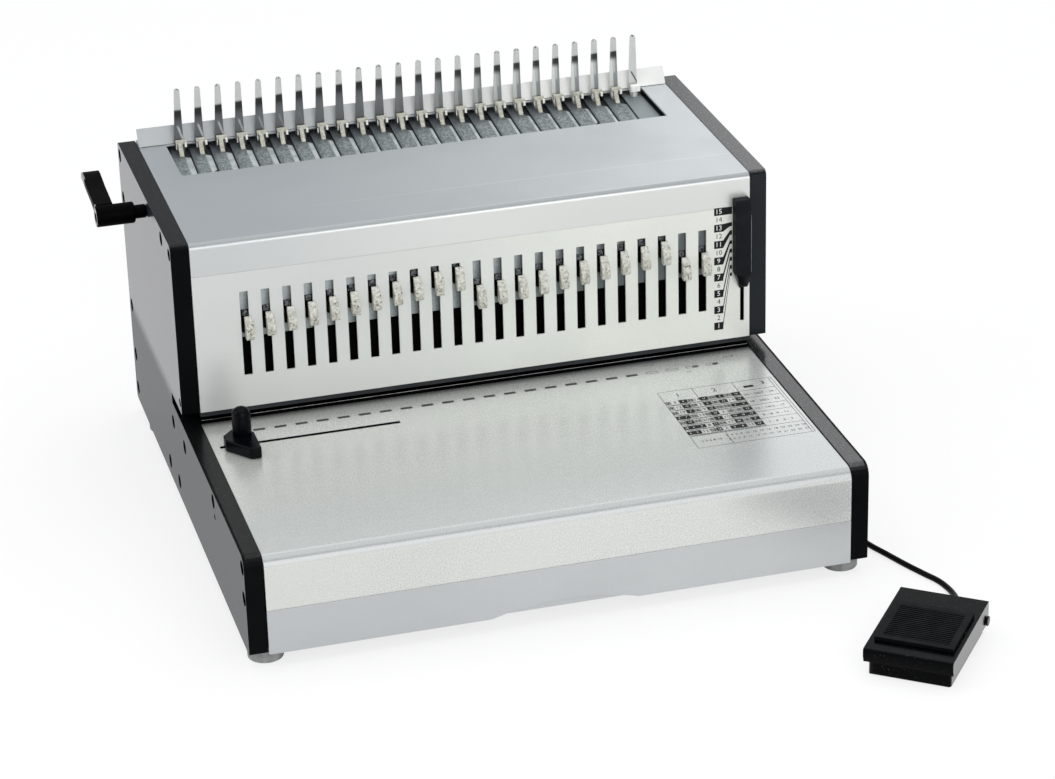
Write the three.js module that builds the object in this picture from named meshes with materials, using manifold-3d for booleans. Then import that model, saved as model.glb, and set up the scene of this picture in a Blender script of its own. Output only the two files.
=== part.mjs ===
// Electric comb binding machine with a foot pedal, in millimetres, +Z up.
// The machine stands on Z = 0 with its front towards -Y. X = 0 is its middle.
// The whole group is then centred on the box of the machine and its pedal.
import * as THREE from "three";
import { mergeVertices } from "three/addons/utils/BufferGeometryUtils.js";
import Module from "manifold-3d";

const wasm = await Module();
wasm.setup();

// Overall sizes
const outerWidth = 406.2;
const machineDepth = 398.6;
const towerDepth = 200.2;
const footHeight = 9.5;
const baseRise = 67.5;
const towerRise = 195;

// Clearances and shared sheet sizes
const seatGap = 0.3;
const runningGap = 0.4;
const sheetThickness = 1.5;
const coverProud = 1.6;
const overrun = 4;
const joinOverlap = 0.5;

// Side plates
const plateThickness = 12;
const baseBend = 8;
const towerBend = 4;
const plateRearRadius = 3;
const plateToeRadius = 2;
const notchHeight = 7.5;
const throatDepth = 39;

// Throat and covers
const coverDrop = 0.8;
const throatHeight = 5;
const lipShow = 3.8;
const topLipHeight = 22.9;
const rearInset = 4;
const bottomPlateRise = 0.3;
const bottomPlateFront = 4;

// Binding pitch and punch pins
const pinCount = 23;
const pinRowMargin = 26.794;
const pinWidth = 7.9;
const pinThickness = 3;
const pinBehindPanel = 4.9;
const pinPark = 1;
const pinStagger = 0.75;
const holeClearance = 0.2;

// Slots of the front panel
const slotWidth = 5.5;
const slotHeight = 59.6;
const slotRise = 22.8;

// Pull tabs
const tabWidth = 5.2;
const tabHeight = 17;
const tabProud = 5.2;
const tabTopProud = 2;
const tabShoulder = 8;
const tabStart = 24.5;
const tabStagger = 1.5;
const tabStemWidth = 4.4;
const tabStemHeight = 8;
const tabStemRise = 6;
const rampStartCounts = [0, 11, 21];

// Punch bar, drive shaft and eccentrics
const punchStroke = 20;
const barHeight = 37.2;
const barDepth = 12;
const barSideGap = 7;
const barTopDrop = 32.5;
const driveShaftDiameter = 12;
const driveShaftRise = 150;
const driveShaftBack = 51.6;
const shaftSeatDepth = 6.3;
const eccentricRadius = 17;
const eccentricThickness = 8;
const yokeInset = 71.1;
const yokeFrame = 5;
const yokePlay = 2.6;

// Die block
const dieThickness = 10;
const guideHeight = 14.8;
const dieDepth = 47;

// Comb fingers and hook plate
const fingerCount = 24;
const fingerShift = 2.4;
const fingerFootWidth = 5.4;
const fingerTipWidth = 3.6;
const fingerThickness = 1.6;
const fingerRise = 39.5;
const fingerLean = 4;
const fingerBehindTower = 179.8;
const combBarDepth = 46;
const combBarHeight = 10;
const combBarDrop = 6.5;
const hookTravel = 16;
const hookPlateLength = 64;
const hookGap = 1.6;
const hookGapBack = 49;
const hookNotchWidth = 4.4;
const hookNotchLength = 7;
const hookStemWidth = 3.6;
const hookStemThickness = 1.8;
const hookStemRise = 4.6;
const hookCupWidth = 6;
const hookCupDepth = 4.4;
const hookCupHeight = 4.6;
const hookFingerGap = 0.6;

// Window and document rest
const windowMargin = 0.75;
const windowFront = 58.6;
const windowBehindFinger = 2.2;
const restSheet = 1.2;
const restRise = 11.4;
const restLean = 6.5;
const restFoot = 13;

// Opening lever
const leverBehindPlateTop = 9;
const leverBehindTower = 89.6;
const leverShaftDiameter = 6.4;
const hubDiameter = 14.4;
const hubLength = 26;
const hubStandoff = 8;
const hubBoreDepth = 17;
const armWidth = 13;
const armReach = 36;
const armThickness = 4.6;
const armRise = 11;
const armTipRise = 5;
const camDiameter = 12;
const camWidth = 8;
const camInset = 41.1;

// Size stop
const stopWidth = 12;
const stopHeight = 66;
const stopInset = 2.1;
const stopProud = 8;
const stopTopDrop = 18;
const stopToeHeight = 11.5;
const stopBevel = 0.9;
const stopSlotWidth = 2.7;
const stopSlotInset = 5.6;
const stopStemThickness = 2;
const stopStemRise = 2;
const stopStemHeight = 28;
const stopTravel = 25;
const keeperWidth = 9;
const keeperThickness = 2;

// Edge guide
const grooveWidth = 3.4;
const grooveLength = 120.5;
const grooveInset = 5.4;
const grooveAhead = 38.6;
const guideInset = 7.9;
const guideWidth = 20.4;
const guideHeightAbove = 8;
const guideBackReach = 8.3;
const guideFrontReach = 24.7;
const guideCutSide = 13.3;
const guideCutBack = 17;
const guideNoseWidth = 7.6;
const guideNoseLength = 8.3;
const knobInset = 7.8;
const knobDiameter = 12.6;
const knobHeight = 18.7;
const knobDome = 5.4;
const guideStemLength = 8;
const guideStemWidth = 2.8;
const guideKeeperLength = 15;
const guideKeeperWidth = 16;
const guideKeeperHeight = 4;

// Waste drawer
const drawerFrontHeight = 30.1;
const drawerSeam = 0.6;
const scallopWidth = 97;
const scallopRise = 6.5;
const trayInset = 10;
const trayLength = 245;
const trayHeight = 25;

// Drive motor and its gearbox
const gearboxInset = 9.1;
const gearboxWidth = 34;
const gearboxNoseAhead = 22;
const gearboxFootBehind = 3;
const gearboxCrownBehind = 38;
const gearboxBackBehind = 84;
const gearboxTop = 178;
const gearboxShoulder = 120;
const gearboxChin = 104;
const motorRadius = 32;
const motorLength = 118;
const motorRise = 75;
const motorBehind = 50;

// Control board
const boardInset = 41.1;
const boardY = 300;
const boardWidth = 90;
const boardDepth = 70;
const boardThickness = 2;
const boardPostHeight = 5;
const boardPostRadius = 3;
const boardPostInset = 8;
const coreWidth = 36;
const coreDepth = 30;
const coreHeight = 28;
const relayWidth = 18;
const relayDepth = 14;
const relayHeight = 15;
const relayGap = 10;

// Mains inlet with the switch housing, and its rocker
const inletInset = 127.1;
const inletRise = 44;
const inletWidth = 50;
const inletHeight = 30;
const inletFlange = 3;
const inletFlangeThickness = 2.4;
const inletDepth = 16;
const socketWidth = 24;
const socketHeight = 17;
const socketDepth = 12;
const socketShift = 11;
const socketCorner = 4;
const rockerPocketWidth = 15;
const rockerPocketHeight = 22;
const rockerPocketDepth = 9;
const rockerGap = 0.5;
const rockerDepth = 8;
const rockerBow = 1.6;
const rockerShift = 13;
const rockerRestDegrees = -8;

// Feet
const footDiameter = 23;
const footInset = 13.1;
const frontFootY = 16;
const rearFootY = 360;

// Pedal, in its own frame: its middle on the table, its hinge end towards local +Y
const pedalX = 199.5;
const pedalY = -110.4;
const pedalTurnDegrees = -37.9;
const pedalWidth = 56.9;
const pedalLength = 80.8;
const pedalFrontHeight = 19;
const pedalRearHeight = 20.6;
const pedalFlangeFront = 9.5;
const pedalFlangeRear = 15.3;
const pedalLip = 5;
const pedalSheet = 1.5;
const pedalBaseGap = 0.8;
const pedalBaseFrontGap = 0.9;
const pedalBaseHeight = 12.2;
const pedalBaseFloor = 3;
const pedalBaseBevel = 2.4;
const pedalBaseRearGap = 0.4;
const pivotInset = 4.4;
const pivotRise = 9;
const pivotRadius = 2;
const pivotHeadRadius = 3.2;
const pivotHeadHeight = 1.2;
const padWidth = 50;
const padLength = 47;
const padThickness = 1.6;
const padRearInset = 21.5;
const padRibCount = 17;
const padBorder = 4.2;
const padRibHeight = 0.7;
const padRibShare = 0.5;
const microWidth = 20;
const microDepth = 10;
const microHeight = 10.6;
const microButton = 1.6;
const bootX = 4;
const bootRise = 7;
const bootRadius = 3.6;
const bootTipRadius = 2.8;
const bootLength = 5.8;

// Pedal cord
const cordDiameter = 4;
const cordSides = 8;
const cordLift = 0.05;
const glandInset = 26.1;
const glandRise = 20;
const glandRadius = 5;
const glandTipRadius = 3;
const glandLength = 14;
const glandFlangeRadius = 7;
const glandFlangeThickness = 1.6;
const coilX = 100;
const coilBehind = 47.4;
const coilMiddleRadius = 24;
const coilPitch = 4.6;
const coilTurns = 6.5;
const coilStepsPerTurn = 24;
const coilSides = 6;
const coilStartTurnShare = 0.25;
const coilLeast = 0.4;

// Counts for round shapes
const arcSteps = 5;
const roundSides = 24;
const smallSides = 12;

// Derived planes of the machine
const half = (length) => length / 2;
const innerHalf = half(outerWidth) - plateThickness;
const coverHalf = innerHalf - seatGap;
const pitch = (2 * (innerHalf - pinRowMargin)) / pinCount;
const yokeSpread = 2 * (innerHalf - yokeInset);
const camSpread = 2 * (innerHalf - camInset);
const gearboxLeft = innerHalf - gearboxInset - gearboxWidth;
const boardX = -innerHalf + boardInset;
const inletX = innerHalf - inletInset;
const glandX = innerHalf - glandInset;
const plateBottom = footHeight;
const baseTop = plateBottom + baseRise;
const towerTop = plateBottom + towerRise;
const towerFrontY = machineDepth - towerDepth;
const baseCoverTop = baseTop - coverDrop;
const lipBottom = baseCoverTop + throatHeight;
const panelBottom = lipBottom + lipShow;
const panelFrontY = towerFrontY - coverProud;
const panelBackY = panelFrontY + sheetThickness;
const topLipBottom = towerTop - topLipHeight;
const notchTop = baseTop + notchHeight;
const throatBackY = panelFrontY + throatDepth;
const coverBackY = panelBackY + seatGap;
const pinFrontY = panelBackY + pinBehindPanel;
const slotBottom = panelBottom + slotRise;
const drawerFrontTop = plateBottom + drawerFrontHeight;
const coverUnderside = towerTop - sheetThickness;
const barTop = towerTop - barTopDrop;
const combBarTop = towerTop - combBarDrop;
const fingerY = towerFrontY + fingerBehindTower;
const hookPlateBottom = combBarTop + seatGap;
const hookPlateTop = hookPlateBottom + sheetThickness;
const rearCoverBack = machineDepth - rearInset;
const rearCoverFront = rearCoverBack - sheetThickness;
const driveShaftY = towerFrontY + driveShaftBack;
const leverY = towerFrontY + leverBehindTower;
const leverZ = towerTop - leverBehindPlateTop;
const bottomPlateTop = plateBottom + bottomPlateRise + sheetThickness;
const grooveY = towerFrontY - grooveAhead;
const grooveLeft = -innerHalf + grooveInset;
const knobX = -innerHalf + guideInset + guideWidth - knobInset;
const eccentricity = half(punchStroke);

// Solids

function solidOf(geometry) {
  const bare = geometry.index ? geometry.toNonIndexed() : geometry.clone();
  bare.deleteAttribute("normal");
  bare.deleteAttribute("uv");
  const merged = mergeVertices(bare);
  return new wasm.Manifold(
    new wasm.Mesh({
      numProp: 3,
      vertProperties: merged.attributes.position.array,
      triVerts: new Uint32Array(merged.index.array),
    }),
  );
}

function geometryOf(solid) {
  const mesh = solid.getMesh();
  const geometry = new THREE.BufferGeometry();
  geometry.setAttribute("position", new THREE.BufferAttribute(mesh.vertProperties, 3));
  geometry.setIndex(new THREE.BufferAttribute(mesh.triVerts, 1));
  geometry.computeVertexNormals();
  return geometry;
}

function join(...solids) {
  return solids.reduce((all, next) => all.add(next));
}

function cut(solid, ...tools) {
  return tools.reduce((left, tool) => left.subtract(tool), solid);
}

// A box from its lowest to its highest X, Y and Z.
function block([x0, x1], [y0, y1], [z0, z1]) {
  const geometry = new THREE.BoxGeometry(x1 - x0, y1 - y0, z1 - z0);
  geometry.translate(half(x0 + x1), half(y0 + y1), half(z0 + z1));
  return solidOf(geometry);
}

const centred = (middle, width) => [middle - half(width), middle + half(width)];

// A closed outline whose corners [u, v, radius] are rounded by arcs.
function roundedOutline(corners) {
  const points = [];
  corners.forEach(([u, v, radius = 0], index) => {
    const corner = new THREE.Vector2(u, v);
    if (radius <= 0) {
      points.push(corner);
      return;
    }
    const [pu, pv] = corners[(index + corners.length - 1) % corners.length];
    const [nu, nv] = corners[(index + 1) % corners.length];
    const before = new THREE.Vector2(pu, pv).sub(corner).normalize();
    const after = new THREE.Vector2(nu, nv).sub(corner).normalize();
    const halfAngle = half(Math.acos(THREE.MathUtils.clamp(before.dot(after), -1, 1)));
    const middle = before.clone().add(after).normalize();
    const centre = middle.multiplyScalar(radius / Math.sin(halfAngle)).add(corner);
    const start = before.clone().multiplyScalar(radius / Math.tan(halfAngle)).add(corner).sub(centre);
    const turn = (Math.PI - 2 * halfAngle) * Math.sign(before.cross(after)) * -1;
    for (let step = 0; step <= arcSteps; step++) {
      const arm = start.clone().rotateAround(new THREE.Vector2(), (turn * step) / arcSteps);
      points.push(arm.add(centre));
    }
  });
  return points;
}

// Corners turned about a centre, in degrees.
function turned(corners, [cu, cv], degrees) {
  const angle = THREE.MathUtils.degToRad(degrees);
  const centre = new THREE.Vector2(cu, cv);
  return corners.map(([u, v, radius = 0]) => {
    const point = new THREE.Vector2(u, v).rotateAround(centre, angle);
    return [point.x, point.y, radius];
  });
}

// The outline of a bent sheet. Its outer corners run along one side, and its thickness lies to their left.
function sheetOutline(corners, thickness) {
  const directions = corners.slice(1).map(([u, v], index) => {
    const [pu, pv] = corners[index];
    return new THREE.Vector2(u - pu, v - pv).normalize();
  });
  const inner = corners.map(([u, v, radius = 0], index) => {
    const before = directions[Math.max(index - 1, 0)];
    const after = directions[Math.min(index, directions.length - 1)];
    const sum = new THREE.Vector2(-before.y - after.y, before.x + after.x);
    const shift = sum.multiplyScalar(thickness / (1 + before.dot(after)));
    return [u + shift.x, v + shift.y, Math.max(radius - thickness, 0)];
  });
  return [...corners, ...inner.reverse()];
}

function extruded(corners, depth) {
  const shape = new THREE.Shape(roundedOutline(corners));
  return new THREE.ExtrudeGeometry(shape, { depth, bevelEnabled: false, steps: 1 });
}

// An outline of [Y, Z] corners carried along X.
function alongX(corners, [x0, x1]) {
  const geometry = extruded(corners, x1 - x0);
  const turn = new THREE.Matrix4().makeBasis(
    new THREE.Vector3(0, 1, 0),
    new THREE.Vector3(0, 0, 1),
    new THREE.Vector3(1, 0, 0),
  );
  geometry.applyMatrix4(turn);
  geometry.translate(x0, 0, 0);
  return solidOf(geometry);
}

// An outline of [X, Z] corners carried along Y.
function alongY(corners, [y0, y1]) {
  const geometry = extruded(corners, y1 - y0);
  geometry.rotateX(Math.PI / 2);
  geometry.translate(0, y1, 0);
  return solidOf(geometry);
}

// An outline of [X, Y] corners carried along Z.
function alongZ(corners, [z0, z1]) {
  const geometry = extruded(corners, z1 - z0);
  geometry.translate(0, 0, z0);
  return solidOf(geometry);
}

// A round bar along X, Y or Z. centre holds the other two coordinates in X, Y, Z order.
function rod(axis, [from, to], centre, radius, sides = roundSides, farRadius = radius) {
  const geometry = new THREE.CylinderGeometry(farRadius, radius, to - from, sides);
  const middle = half(from + to);
  const [first, second] = centre;
  if (axis === "x") {
    geometry.rotateZ(-Math.PI / 2);
    geometry.translate(middle, first, second);
  } else if (axis === "y") {
    geometry.translate(first, middle, second);
  } else {
    geometry.rotateX(Math.PI / 2);
    geometry.translate(first, second, middle);
  }
  return solidOf(geometry);
}

// Finishes
const finishes = {
  satinSilver: { color: 0xc9cccd, roughness: 0.42, metalness: 0.75 },
  zinc: { color: 0x8d9496, roughness: 0.45, metalness: 0.8 },
  chrome: { color: 0xd6d8d8, roughness: 0.15, metalness: 1 },
  steel: { color: 0x9a9da0, roughness: 0.35, metalness: 0.9 },
  blackPaint: { color: 0x1b1d20, roughness: 0.45, metalness: 0.1 },
  blackPlastic: { color: 0x121315, roughness: 0.4, metalness: 0 },
  paleSheet: { color: 0xe9ebeb, roughness: 0.5, metalness: 0.2 },
  ivory: { color: 0xdedccb, roughness: 0.5, metalness: 0 },
  greyRubber: { color: 0x8e8f8c, roughness: 0.8, metalness: 0 },
  blackRubber: { color: 0x1c1d1e, roughness: 0.75, metalness: 0 },
  boardGreen: { color: 0x2f5b3c, roughness: 0.6, metalness: 0 },
};

const machine = new THREE.Group();

function place(name, solid, finish, parent = machine) {
  const mesh = new THREE.Mesh(geometryOf(solid), new THREE.MeshStandardMaterial(finish));
  mesh.name = name;
  parent.add(mesh);
  return mesh;
}

// Places of the repeated pieces
const slotX = (index) => (index - half(pinCount - 1)) * pitch;
const fingerX = (index) => (index - half(fingerCount - 1)) * pitch + fingerShift;
const pins = Array.from({ length: pinCount }, (_, index) => index);
const fingers = Array.from({ length: fingerCount }, (_, index) => index);
const rampStep = (index) => index - Math.max(...rampStartCounts.filter((start) => start <= index));

// Side plates: one thick plate on each side, with the throat notched in behind the tower's front.

function sidePlate(side) {
  const outline = [
    [0, plateBottom, plateToeRadius],
    [machineDepth, plateBottom, plateRearRadius],
    [machineDepth, towerTop, plateRearRadius],
    [towerFrontY, towerTop, towerBend],
    [towerFrontY, notchTop],
    [throatBackY, notchTop],
    [throatBackY, baseTop],
    [0, baseTop, baseBend],
  ];
  const span = [innerHalf, half(outerWidth)];
  const xs = side > 0 ? span : [-span[1], -span[0]];
  const seat = side > 0 ? [innerHalf - overrun, innerHalf + shaftSeatDepth] : [-innerHalf - shaftSeatDepth, -innerHalf + overrun];
  const leverSeat = side > 0 ? seat : [-half(outerWidth) - overrun, -innerHalf + overrun];
  const driveBore = rod("x", seat, [driveShaftY, driveShaftRise], half(driveShaftDiameter) + runningGap);
  const leverBore = rod("x", leverSeat, [leverY, leverZ], half(leverShaftDiameter) + runningGap);
  return cut(alongX(outline, xs), driveBore, leverBore);
}

place("left_side_plate", sidePlate(-1), finishes.blackPaint);
place("right_side_plate", sidePlate(1), finishes.blackPaint);

// Base cover: one bent sheet, with the groove of the edge guide.

function baseCover() {
  const outline = sheetOutline(
    [
      [coverBackY, baseCoverTop],
      [-coverProud, baseCoverTop, baseBend],
      [-coverProud, drawerFrontTop + drawerSeam],
    ],
    sheetThickness,
  );
  const groove = block(
    [grooveLeft, grooveLeft + grooveLength],
    centred(grooveY, grooveWidth),
    [baseCoverTop - sheetThickness - overrun, baseCoverTop + overrun],
  );
  return cut(alongX(outline, [-coverHalf, coverHalf]), groove);
}

place("base_cover", baseCover(), finishes.satinSilver);

// Bottom plate between the side plates.

const bottomPlate = block(
  [-coverHalf, coverHalf],
  [bottomPlateFront, rearCoverFront - seatGap],
  [bottomPlateTop - sheetThickness, bottomPlateTop],
);
place("bottom_plate", bottomPlate, finishes.zinc);

// Front panel: a slot for each pull tab and a thin one for the size stop.

const stopRight = innerHalf - stopInset;
const stopTop = towerTop - stopTopDrop;
const stopBottom = stopTop - stopHeight;
const stopSlotX = innerHalf - stopSlotInset;
const stopStem = [stopBottom + stopStemRise, stopBottom + stopStemRise + stopStemHeight];

function frontPanel() {
  const panel = block([-coverHalf, coverHalf], [panelFrontY, panelBackY], [panelBottom, topLipBottom - seatGap]);
  const through = [panelFrontY - overrun, panelBackY + overrun];
  const slots = pins.map((index) =>
    block(centred(slotX(index), slotWidth), through, [slotBottom, slotBottom + slotHeight]),
  );
  const stopSlot = block(
    centred(stopSlotX, stopSlotWidth),
    through,
    [stopStem[0] - stopTravel - seatGap, stopStem[1] + seatGap],
  );
  return cut(panel, ...slots, stopSlot);
}

place("front_panel", frontPanel(), finishes.satinSilver);

// Top cover: the lid of the tower, with its front lip and the window in front of the fingers.

const windowHalf = half(fingerCount * pitch) + windowMargin;
const windowFrontY = fingerY - windowFront;
const windowBackY = fingerY + windowBehindFinger;

function topCover() {
  const outline = sheetOutline(
    [
      [rearCoverBack, towerTop],
      [panelFrontY, towerTop, towerBend],
      [panelFrontY, topLipBottom],
    ],
    sheetThickness,
  );
  const window = block(
    [-windowHalf, windowHalf],
    [windowFrontY, windowBackY],
    [coverUnderside - overrun, towerTop + overrun],
  );
  return cut(alongX(outline, [-coverHalf, coverHalf]), window);
}

place("top_cover", topCover(), finishes.satinSilver);

// Mains inlet, switch housing and rocker, on the rear cover.

const inletZs = centred(inletRise, inletHeight);
const inletXs = centred(inletX, inletWidth);
const inletBackY = rearCoverBack + seatGap + inletFlangeThickness;
const rockerX = inletX - rockerShift;

function mainsInlet() {
  const body = block(inletXs, [rearCoverFront - inletDepth, inletBackY], inletZs);
  const flange = block(
    [inletXs[0] - inletFlange, inletXs[1] + inletFlange],
    [rearCoverBack + seatGap, inletBackY],
    [inletZs[0] - inletFlange, inletZs[1] + inletFlange],
  );
  const [left, right] = centred(inletX + socketShift, socketWidth);
  const [low, high] = centred(inletRise, socketHeight);
  const socket = alongY(
    [
      [left, low],
      [right, low],
      [right, high - socketCorner],
      [right - socketCorner, high],
      [left + socketCorner, high],
      [left, high - socketCorner],
    ],
    [inletBackY - socketDepth, inletBackY + overrun],
  );
  const pocket = block(
    centred(rockerX, rockerPocketWidth),
    [inletBackY - rockerPocketDepth, inletBackY + overrun],
    centred(inletRise, rockerPocketHeight),
  );
  return cut(join(body, flange), socket, pocket);
}

place("mains_inlet", mainsInlet(), finishes.blackPlastic);

function rocker() {
  const back = inletBackY - rockerPocketDepth + rockerGap;
  const front = back + rockerDepth;
  const reach = half(rockerPocketHeight) - 2 * rockerGap;
  const outline = [
    [back, inletRise],
    [back + rockerBow, inletRise - reach],
    [front + rockerBow, inletRise - reach],
    [front, inletRise],
    [front + rockerBow, inletRise + reach],
    [back + rockerBow, inletRise + reach],
  ];
  const atRest = turned(outline, [half(back + front), inletRise], rockerRestDegrees);
  return alongX(atRest, centred(rockerX, rockerPocketWidth - 2 * rockerGap));
}

place("power_switch", rocker(), finishes.blackPlastic);

// Rear cover, cut out for the inlet and the gland of the pedal cord.

function rearCover() {
  const panel = block([-coverHalf, coverHalf], [rearCoverFront, rearCoverBack], [bottomPlateTop, coverUnderside - seatGap]);
  const through = [rearCoverFront - overrun, rearCoverBack + overrun];
  const inletHole = block(
    [inletXs[0] - seatGap, inletXs[1] + seatGap],
    through,
    [inletZs[0] - seatGap, inletZs[1] + seatGap],
  );
  const glandHole = rod("y", through, [glandX, glandRise], glandRadius + seatGap, smallSides);
  return cut(panel, inletHole, glandHole);
}

place("rear_cover", rearCover(), finishes.satinSilver);

// Gland: a flange outside the rear cover, a neck through it and a tapered sleeve round the cord.

function gland() {
  const axis = [glandX, glandRise];
  const outside = rearCoverBack + seatGap;
  const neck = rod("y", [rearCoverFront - overrun, outside + joinOverlap], axis, glandRadius, smallSides);
  const flange = rod("y", [outside, outside + glandFlangeThickness], axis, glandFlangeRadius, smallSides);
  const sleeve = rod("y", [outside, outside + glandLength], axis, glandRadius, smallSides, glandTipRadius);
  return join(neck, flange, sleeve);
}

place("cord_gland", gland(), finishes.blackRubber);

// Document rest: a thin bent strip that stands on the top cover and leans back behind the fingers.

function documentRest() {
  const footY = windowBackY + seatGap;
  const footZ = towerTop + seatGap;
  const outline = sheetOutline(
    [
      [footY + restLean, footZ + restRise],
      [footY, footZ],
      [footY + restFoot, footZ],
    ],
    restSheet,
  );
  return alongX(outline, [-coverHalf, coverHalf]);
}

place("document_rest", documentRest(), finishes.paleSheet);

// Comb of fingers: a bar between the side plates with 24 fingers that lean back a little.

function fingerComb() {
  const bar = block(
    [-coverHalf, coverHalf],
    [windowBackY - combBarDepth, windowBackY],
    [combBarTop - combBarHeight, combBarTop],
  );
  const length = combBarDrop + fingerRise + half(combBarHeight);
  const leanAngle = Math.atan2(fingerLean, fingerRise);
  const upright = new THREE.Shape(
    roundedOutline([
      [-half(fingerFootWidth), 0],
      [half(fingerFootWidth), 0],
      [half(fingerTipWidth), length, half(fingerTipWidth)],
      [-half(fingerTipWidth), length, half(fingerTipWidth)],
    ]),
  );
  const solids = fingers.map((index) => {
    const geometry = new THREE.ExtrudeGeometry(upright, { depth: fingerThickness, bevelEnabled: false, steps: 1 });
    geometry.rotateX(Math.PI / 2 - leanAngle);
    geometry.translate(fingerX(index), fingerY, combBarTop - half(combBarHeight));
    return solidOf(geometry);
  });
  return join(bar, ...solids);
}

place("finger_comb", fingerComb(), finishes.chrome);

// Hook plate: a sheet slit between the fingers, with a small forked hook in front of each finger.

const hookBackY = fingerY - fingerThickness - hookFingerGap;
const hookPlateBack = hookBackY - hookFingerGap;
const hookPlateFront = hookPlateBack - hookPlateLength;

function hookPlate() {
  const sheet = block(
    [-windowHalf + seatGap, windowHalf - seatGap],
    [hookPlateFront, hookPlateBack],
    [hookPlateBottom, hookPlateTop],
  );
  const through = [hookPlateBottom - overrun, hookPlateTop + overrun];
  const gaps = fingers.slice(1).map((index) => {
    const middle = fingerX(index) - half(pitch);
    const slit = block(centred(middle, hookGap), [hookPlateBack - hookGapBack, hookPlateBack + overrun], through);
    const notch = block(
      [middle - hookNotchWidth + half(hookGap), middle + half(hookGap)],
      [hookPlateBack - hookNotchLength, hookPlateBack + overrun],
      through,
    );
    return join(slit, notch);
  });
  const hooks = fingers.map((index) => {
    const stemZ = hookPlateTop + hookStemRise;
    const stem = block(
      centred(fingerX(index), hookStemWidth),
      [hookPlateBack - hookStemThickness, hookPlateBack],
      [hookPlateBottom, stemZ + half(hookCupHeight)],
    );
    const cup = block(
      centred(fingerX(index), hookCupWidth),
      [hookBackY - hookCupDepth, hookBackY],
      [stemZ, stemZ + hookCupHeight],
    );
    return join(stem, cup);
  });
  return join(cut(sheet, ...gaps), ...hooks);
}

place("hook_plate", hookPlate(), finishes.zinc);

// Opening lever: a shaft across the tower with two cams, a hub outside the left plate and a flat arm.

const hubInnerX = -half(outerWidth) - hubStandoff;
const hubOuterX = hubInnerX - hubLength;

function leverShaft() {
  const axis = [leverY, leverZ];
  const shaft = rod("x", [hubInnerX - hubBoreDepth + seatGap, innerHalf + shaftSeatDepth - seatGap], axis, half(leverShaftDiameter), smallSides);
  const cams = [-half(camSpread), half(camSpread)].map((x) =>
    rod("x", centred(x, camWidth), axis, half(camDiameter), smallSides),
  );
  return join(shaft, ...cams);
}

place("lever_shaft", leverShaft(), finishes.steel);

function leverHandle() {
  const hub = rod("x", [hubOuterX, hubInnerX], [leverY, leverZ], half(hubDiameter));
  const bore = rod(
    "x",
    [hubInnerX - hubBoreDepth, hubInnerX + overrun],
    [leverY, leverZ],
    half(leverShaftDiameter) + seatGap,
    smallSides,
  );
  const arm = alongX(
    [
      [leverY, leverZ],
      [leverY + half(armReach), leverZ + half(armRise) - half(armThickness), armThickness],
      [leverY + armReach, leverZ + armRise + armTipRise - armThickness, half(armThickness)],
      [leverY + armReach - half(armThickness), leverZ + armRise + armTipRise, half(armThickness)],
      [leverY + half(armReach), leverZ + half(armRise) + half(armThickness), armThickness],
      [leverY, leverZ + armThickness],
    ],
    [hubOuterX, hubOuterX + armWidth],
  );
  return cut(join(hub, arm), bore);
}

place("lever_handle", leverHandle(), finishes.blackPlastic);

// Die block: the lower die, the black guide above the paper slot and the stop behind it, in one piece.

const throatLowY = coverBackY + seatGap;
const guideFrontY = panelBackY + seatGap;
const guideTop = lipBottom + guideHeight;
const pinYs = [pinFrontY, pinFrontY + pinThickness];

function dieBlock() {
  const backY = guideFrontY + dieDepth;
  const outline = [
    [throatLowY, baseCoverTop - dieThickness],
    [backY, baseCoverTop - dieThickness],
    [backY, guideTop],
    [guideFrontY, guideTop],
    [guideFrontY, lipBottom],
    [throatBackY, lipBottom],
    [throatBackY, baseCoverTop],
    [throatLowY, baseCoverTop],
  ];
  const holes = pins.map((index) =>
    block(
      centred(slotX(index), pinWidth + 2 * holeClearance),
      [pinYs[0] - holeClearance, pinYs[1] + holeClearance],
      [baseCoverTop - dieThickness - overrun, guideTop + overrun],
    ),
  );
  return cut(alongX(outline, [-coverHalf, coverHalf]), ...holes);
}

place("die_block", dieBlock(), finishes.blackPaint);

// Punch bar: the bar with its 23 pins and the two yokes that the eccentrics turn in.

const yokeMiddleZ = driveShaftRise + eccentricity;
const yokeHalfWidth = eccentricRadius + eccentricity + 2 * runningGap;
const yokeHalfHeight = eccentricRadius + yokePlay;
const barYs = [pinYs[1] - joinOverlap, pinYs[1] - joinOverlap + barDepth];

function punchBar() {
  const barHalf = innerHalf - barSideGap;
  const bar = block([-barHalf, barHalf], barYs, [barTop - barHeight, barTop]);
  const pinSolids = pins.map((index) => {
    const tip = lipBottom + pinPark + rampStep(index) * pinStagger;
    return block(centred(slotX(index), pinWidth), pinYs, [tip, barTop]);
  });
  const yokes = [-half(yokeSpread), half(yokeSpread)].map((x) => {
    const outer = block(
      centred(x, eccentricThickness),
      [barYs[1] - joinOverlap, driveShaftY + yokeHalfWidth + yokeFrame],
      centred(yokeMiddleZ, 2 * (yokeHalfHeight + yokeFrame)),
    );
    const inner = block(
      centred(x, eccentricThickness + overrun),
      centred(driveShaftY, 2 * yokeHalfWidth),
      centred(yokeMiddleZ, 2 * yokeHalfHeight),
    );
    return cut(outer, inner);
  });
  return join(bar, ...pinSolids, ...yokes);
}

place("punch_bar", punchBar(), finishes.zinc);

// Drive shaft with an eccentric disc in each yoke.

function driveShaft() {
  const reach = innerHalf + shaftSeatDepth - seatGap;
  const shaft = rod("x", [-reach, reach], [driveShaftY, driveShaftRise], half(driveShaftDiameter), smallSides);
  const discs = [-half(yokeSpread), half(yokeSpread)].map((x) =>
    rod("x", centred(x, eccentricThickness), [driveShaftY, driveShaftRise + eccentricity], eccentricRadius),
  );
  return join(shaft, ...discs);
}

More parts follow.
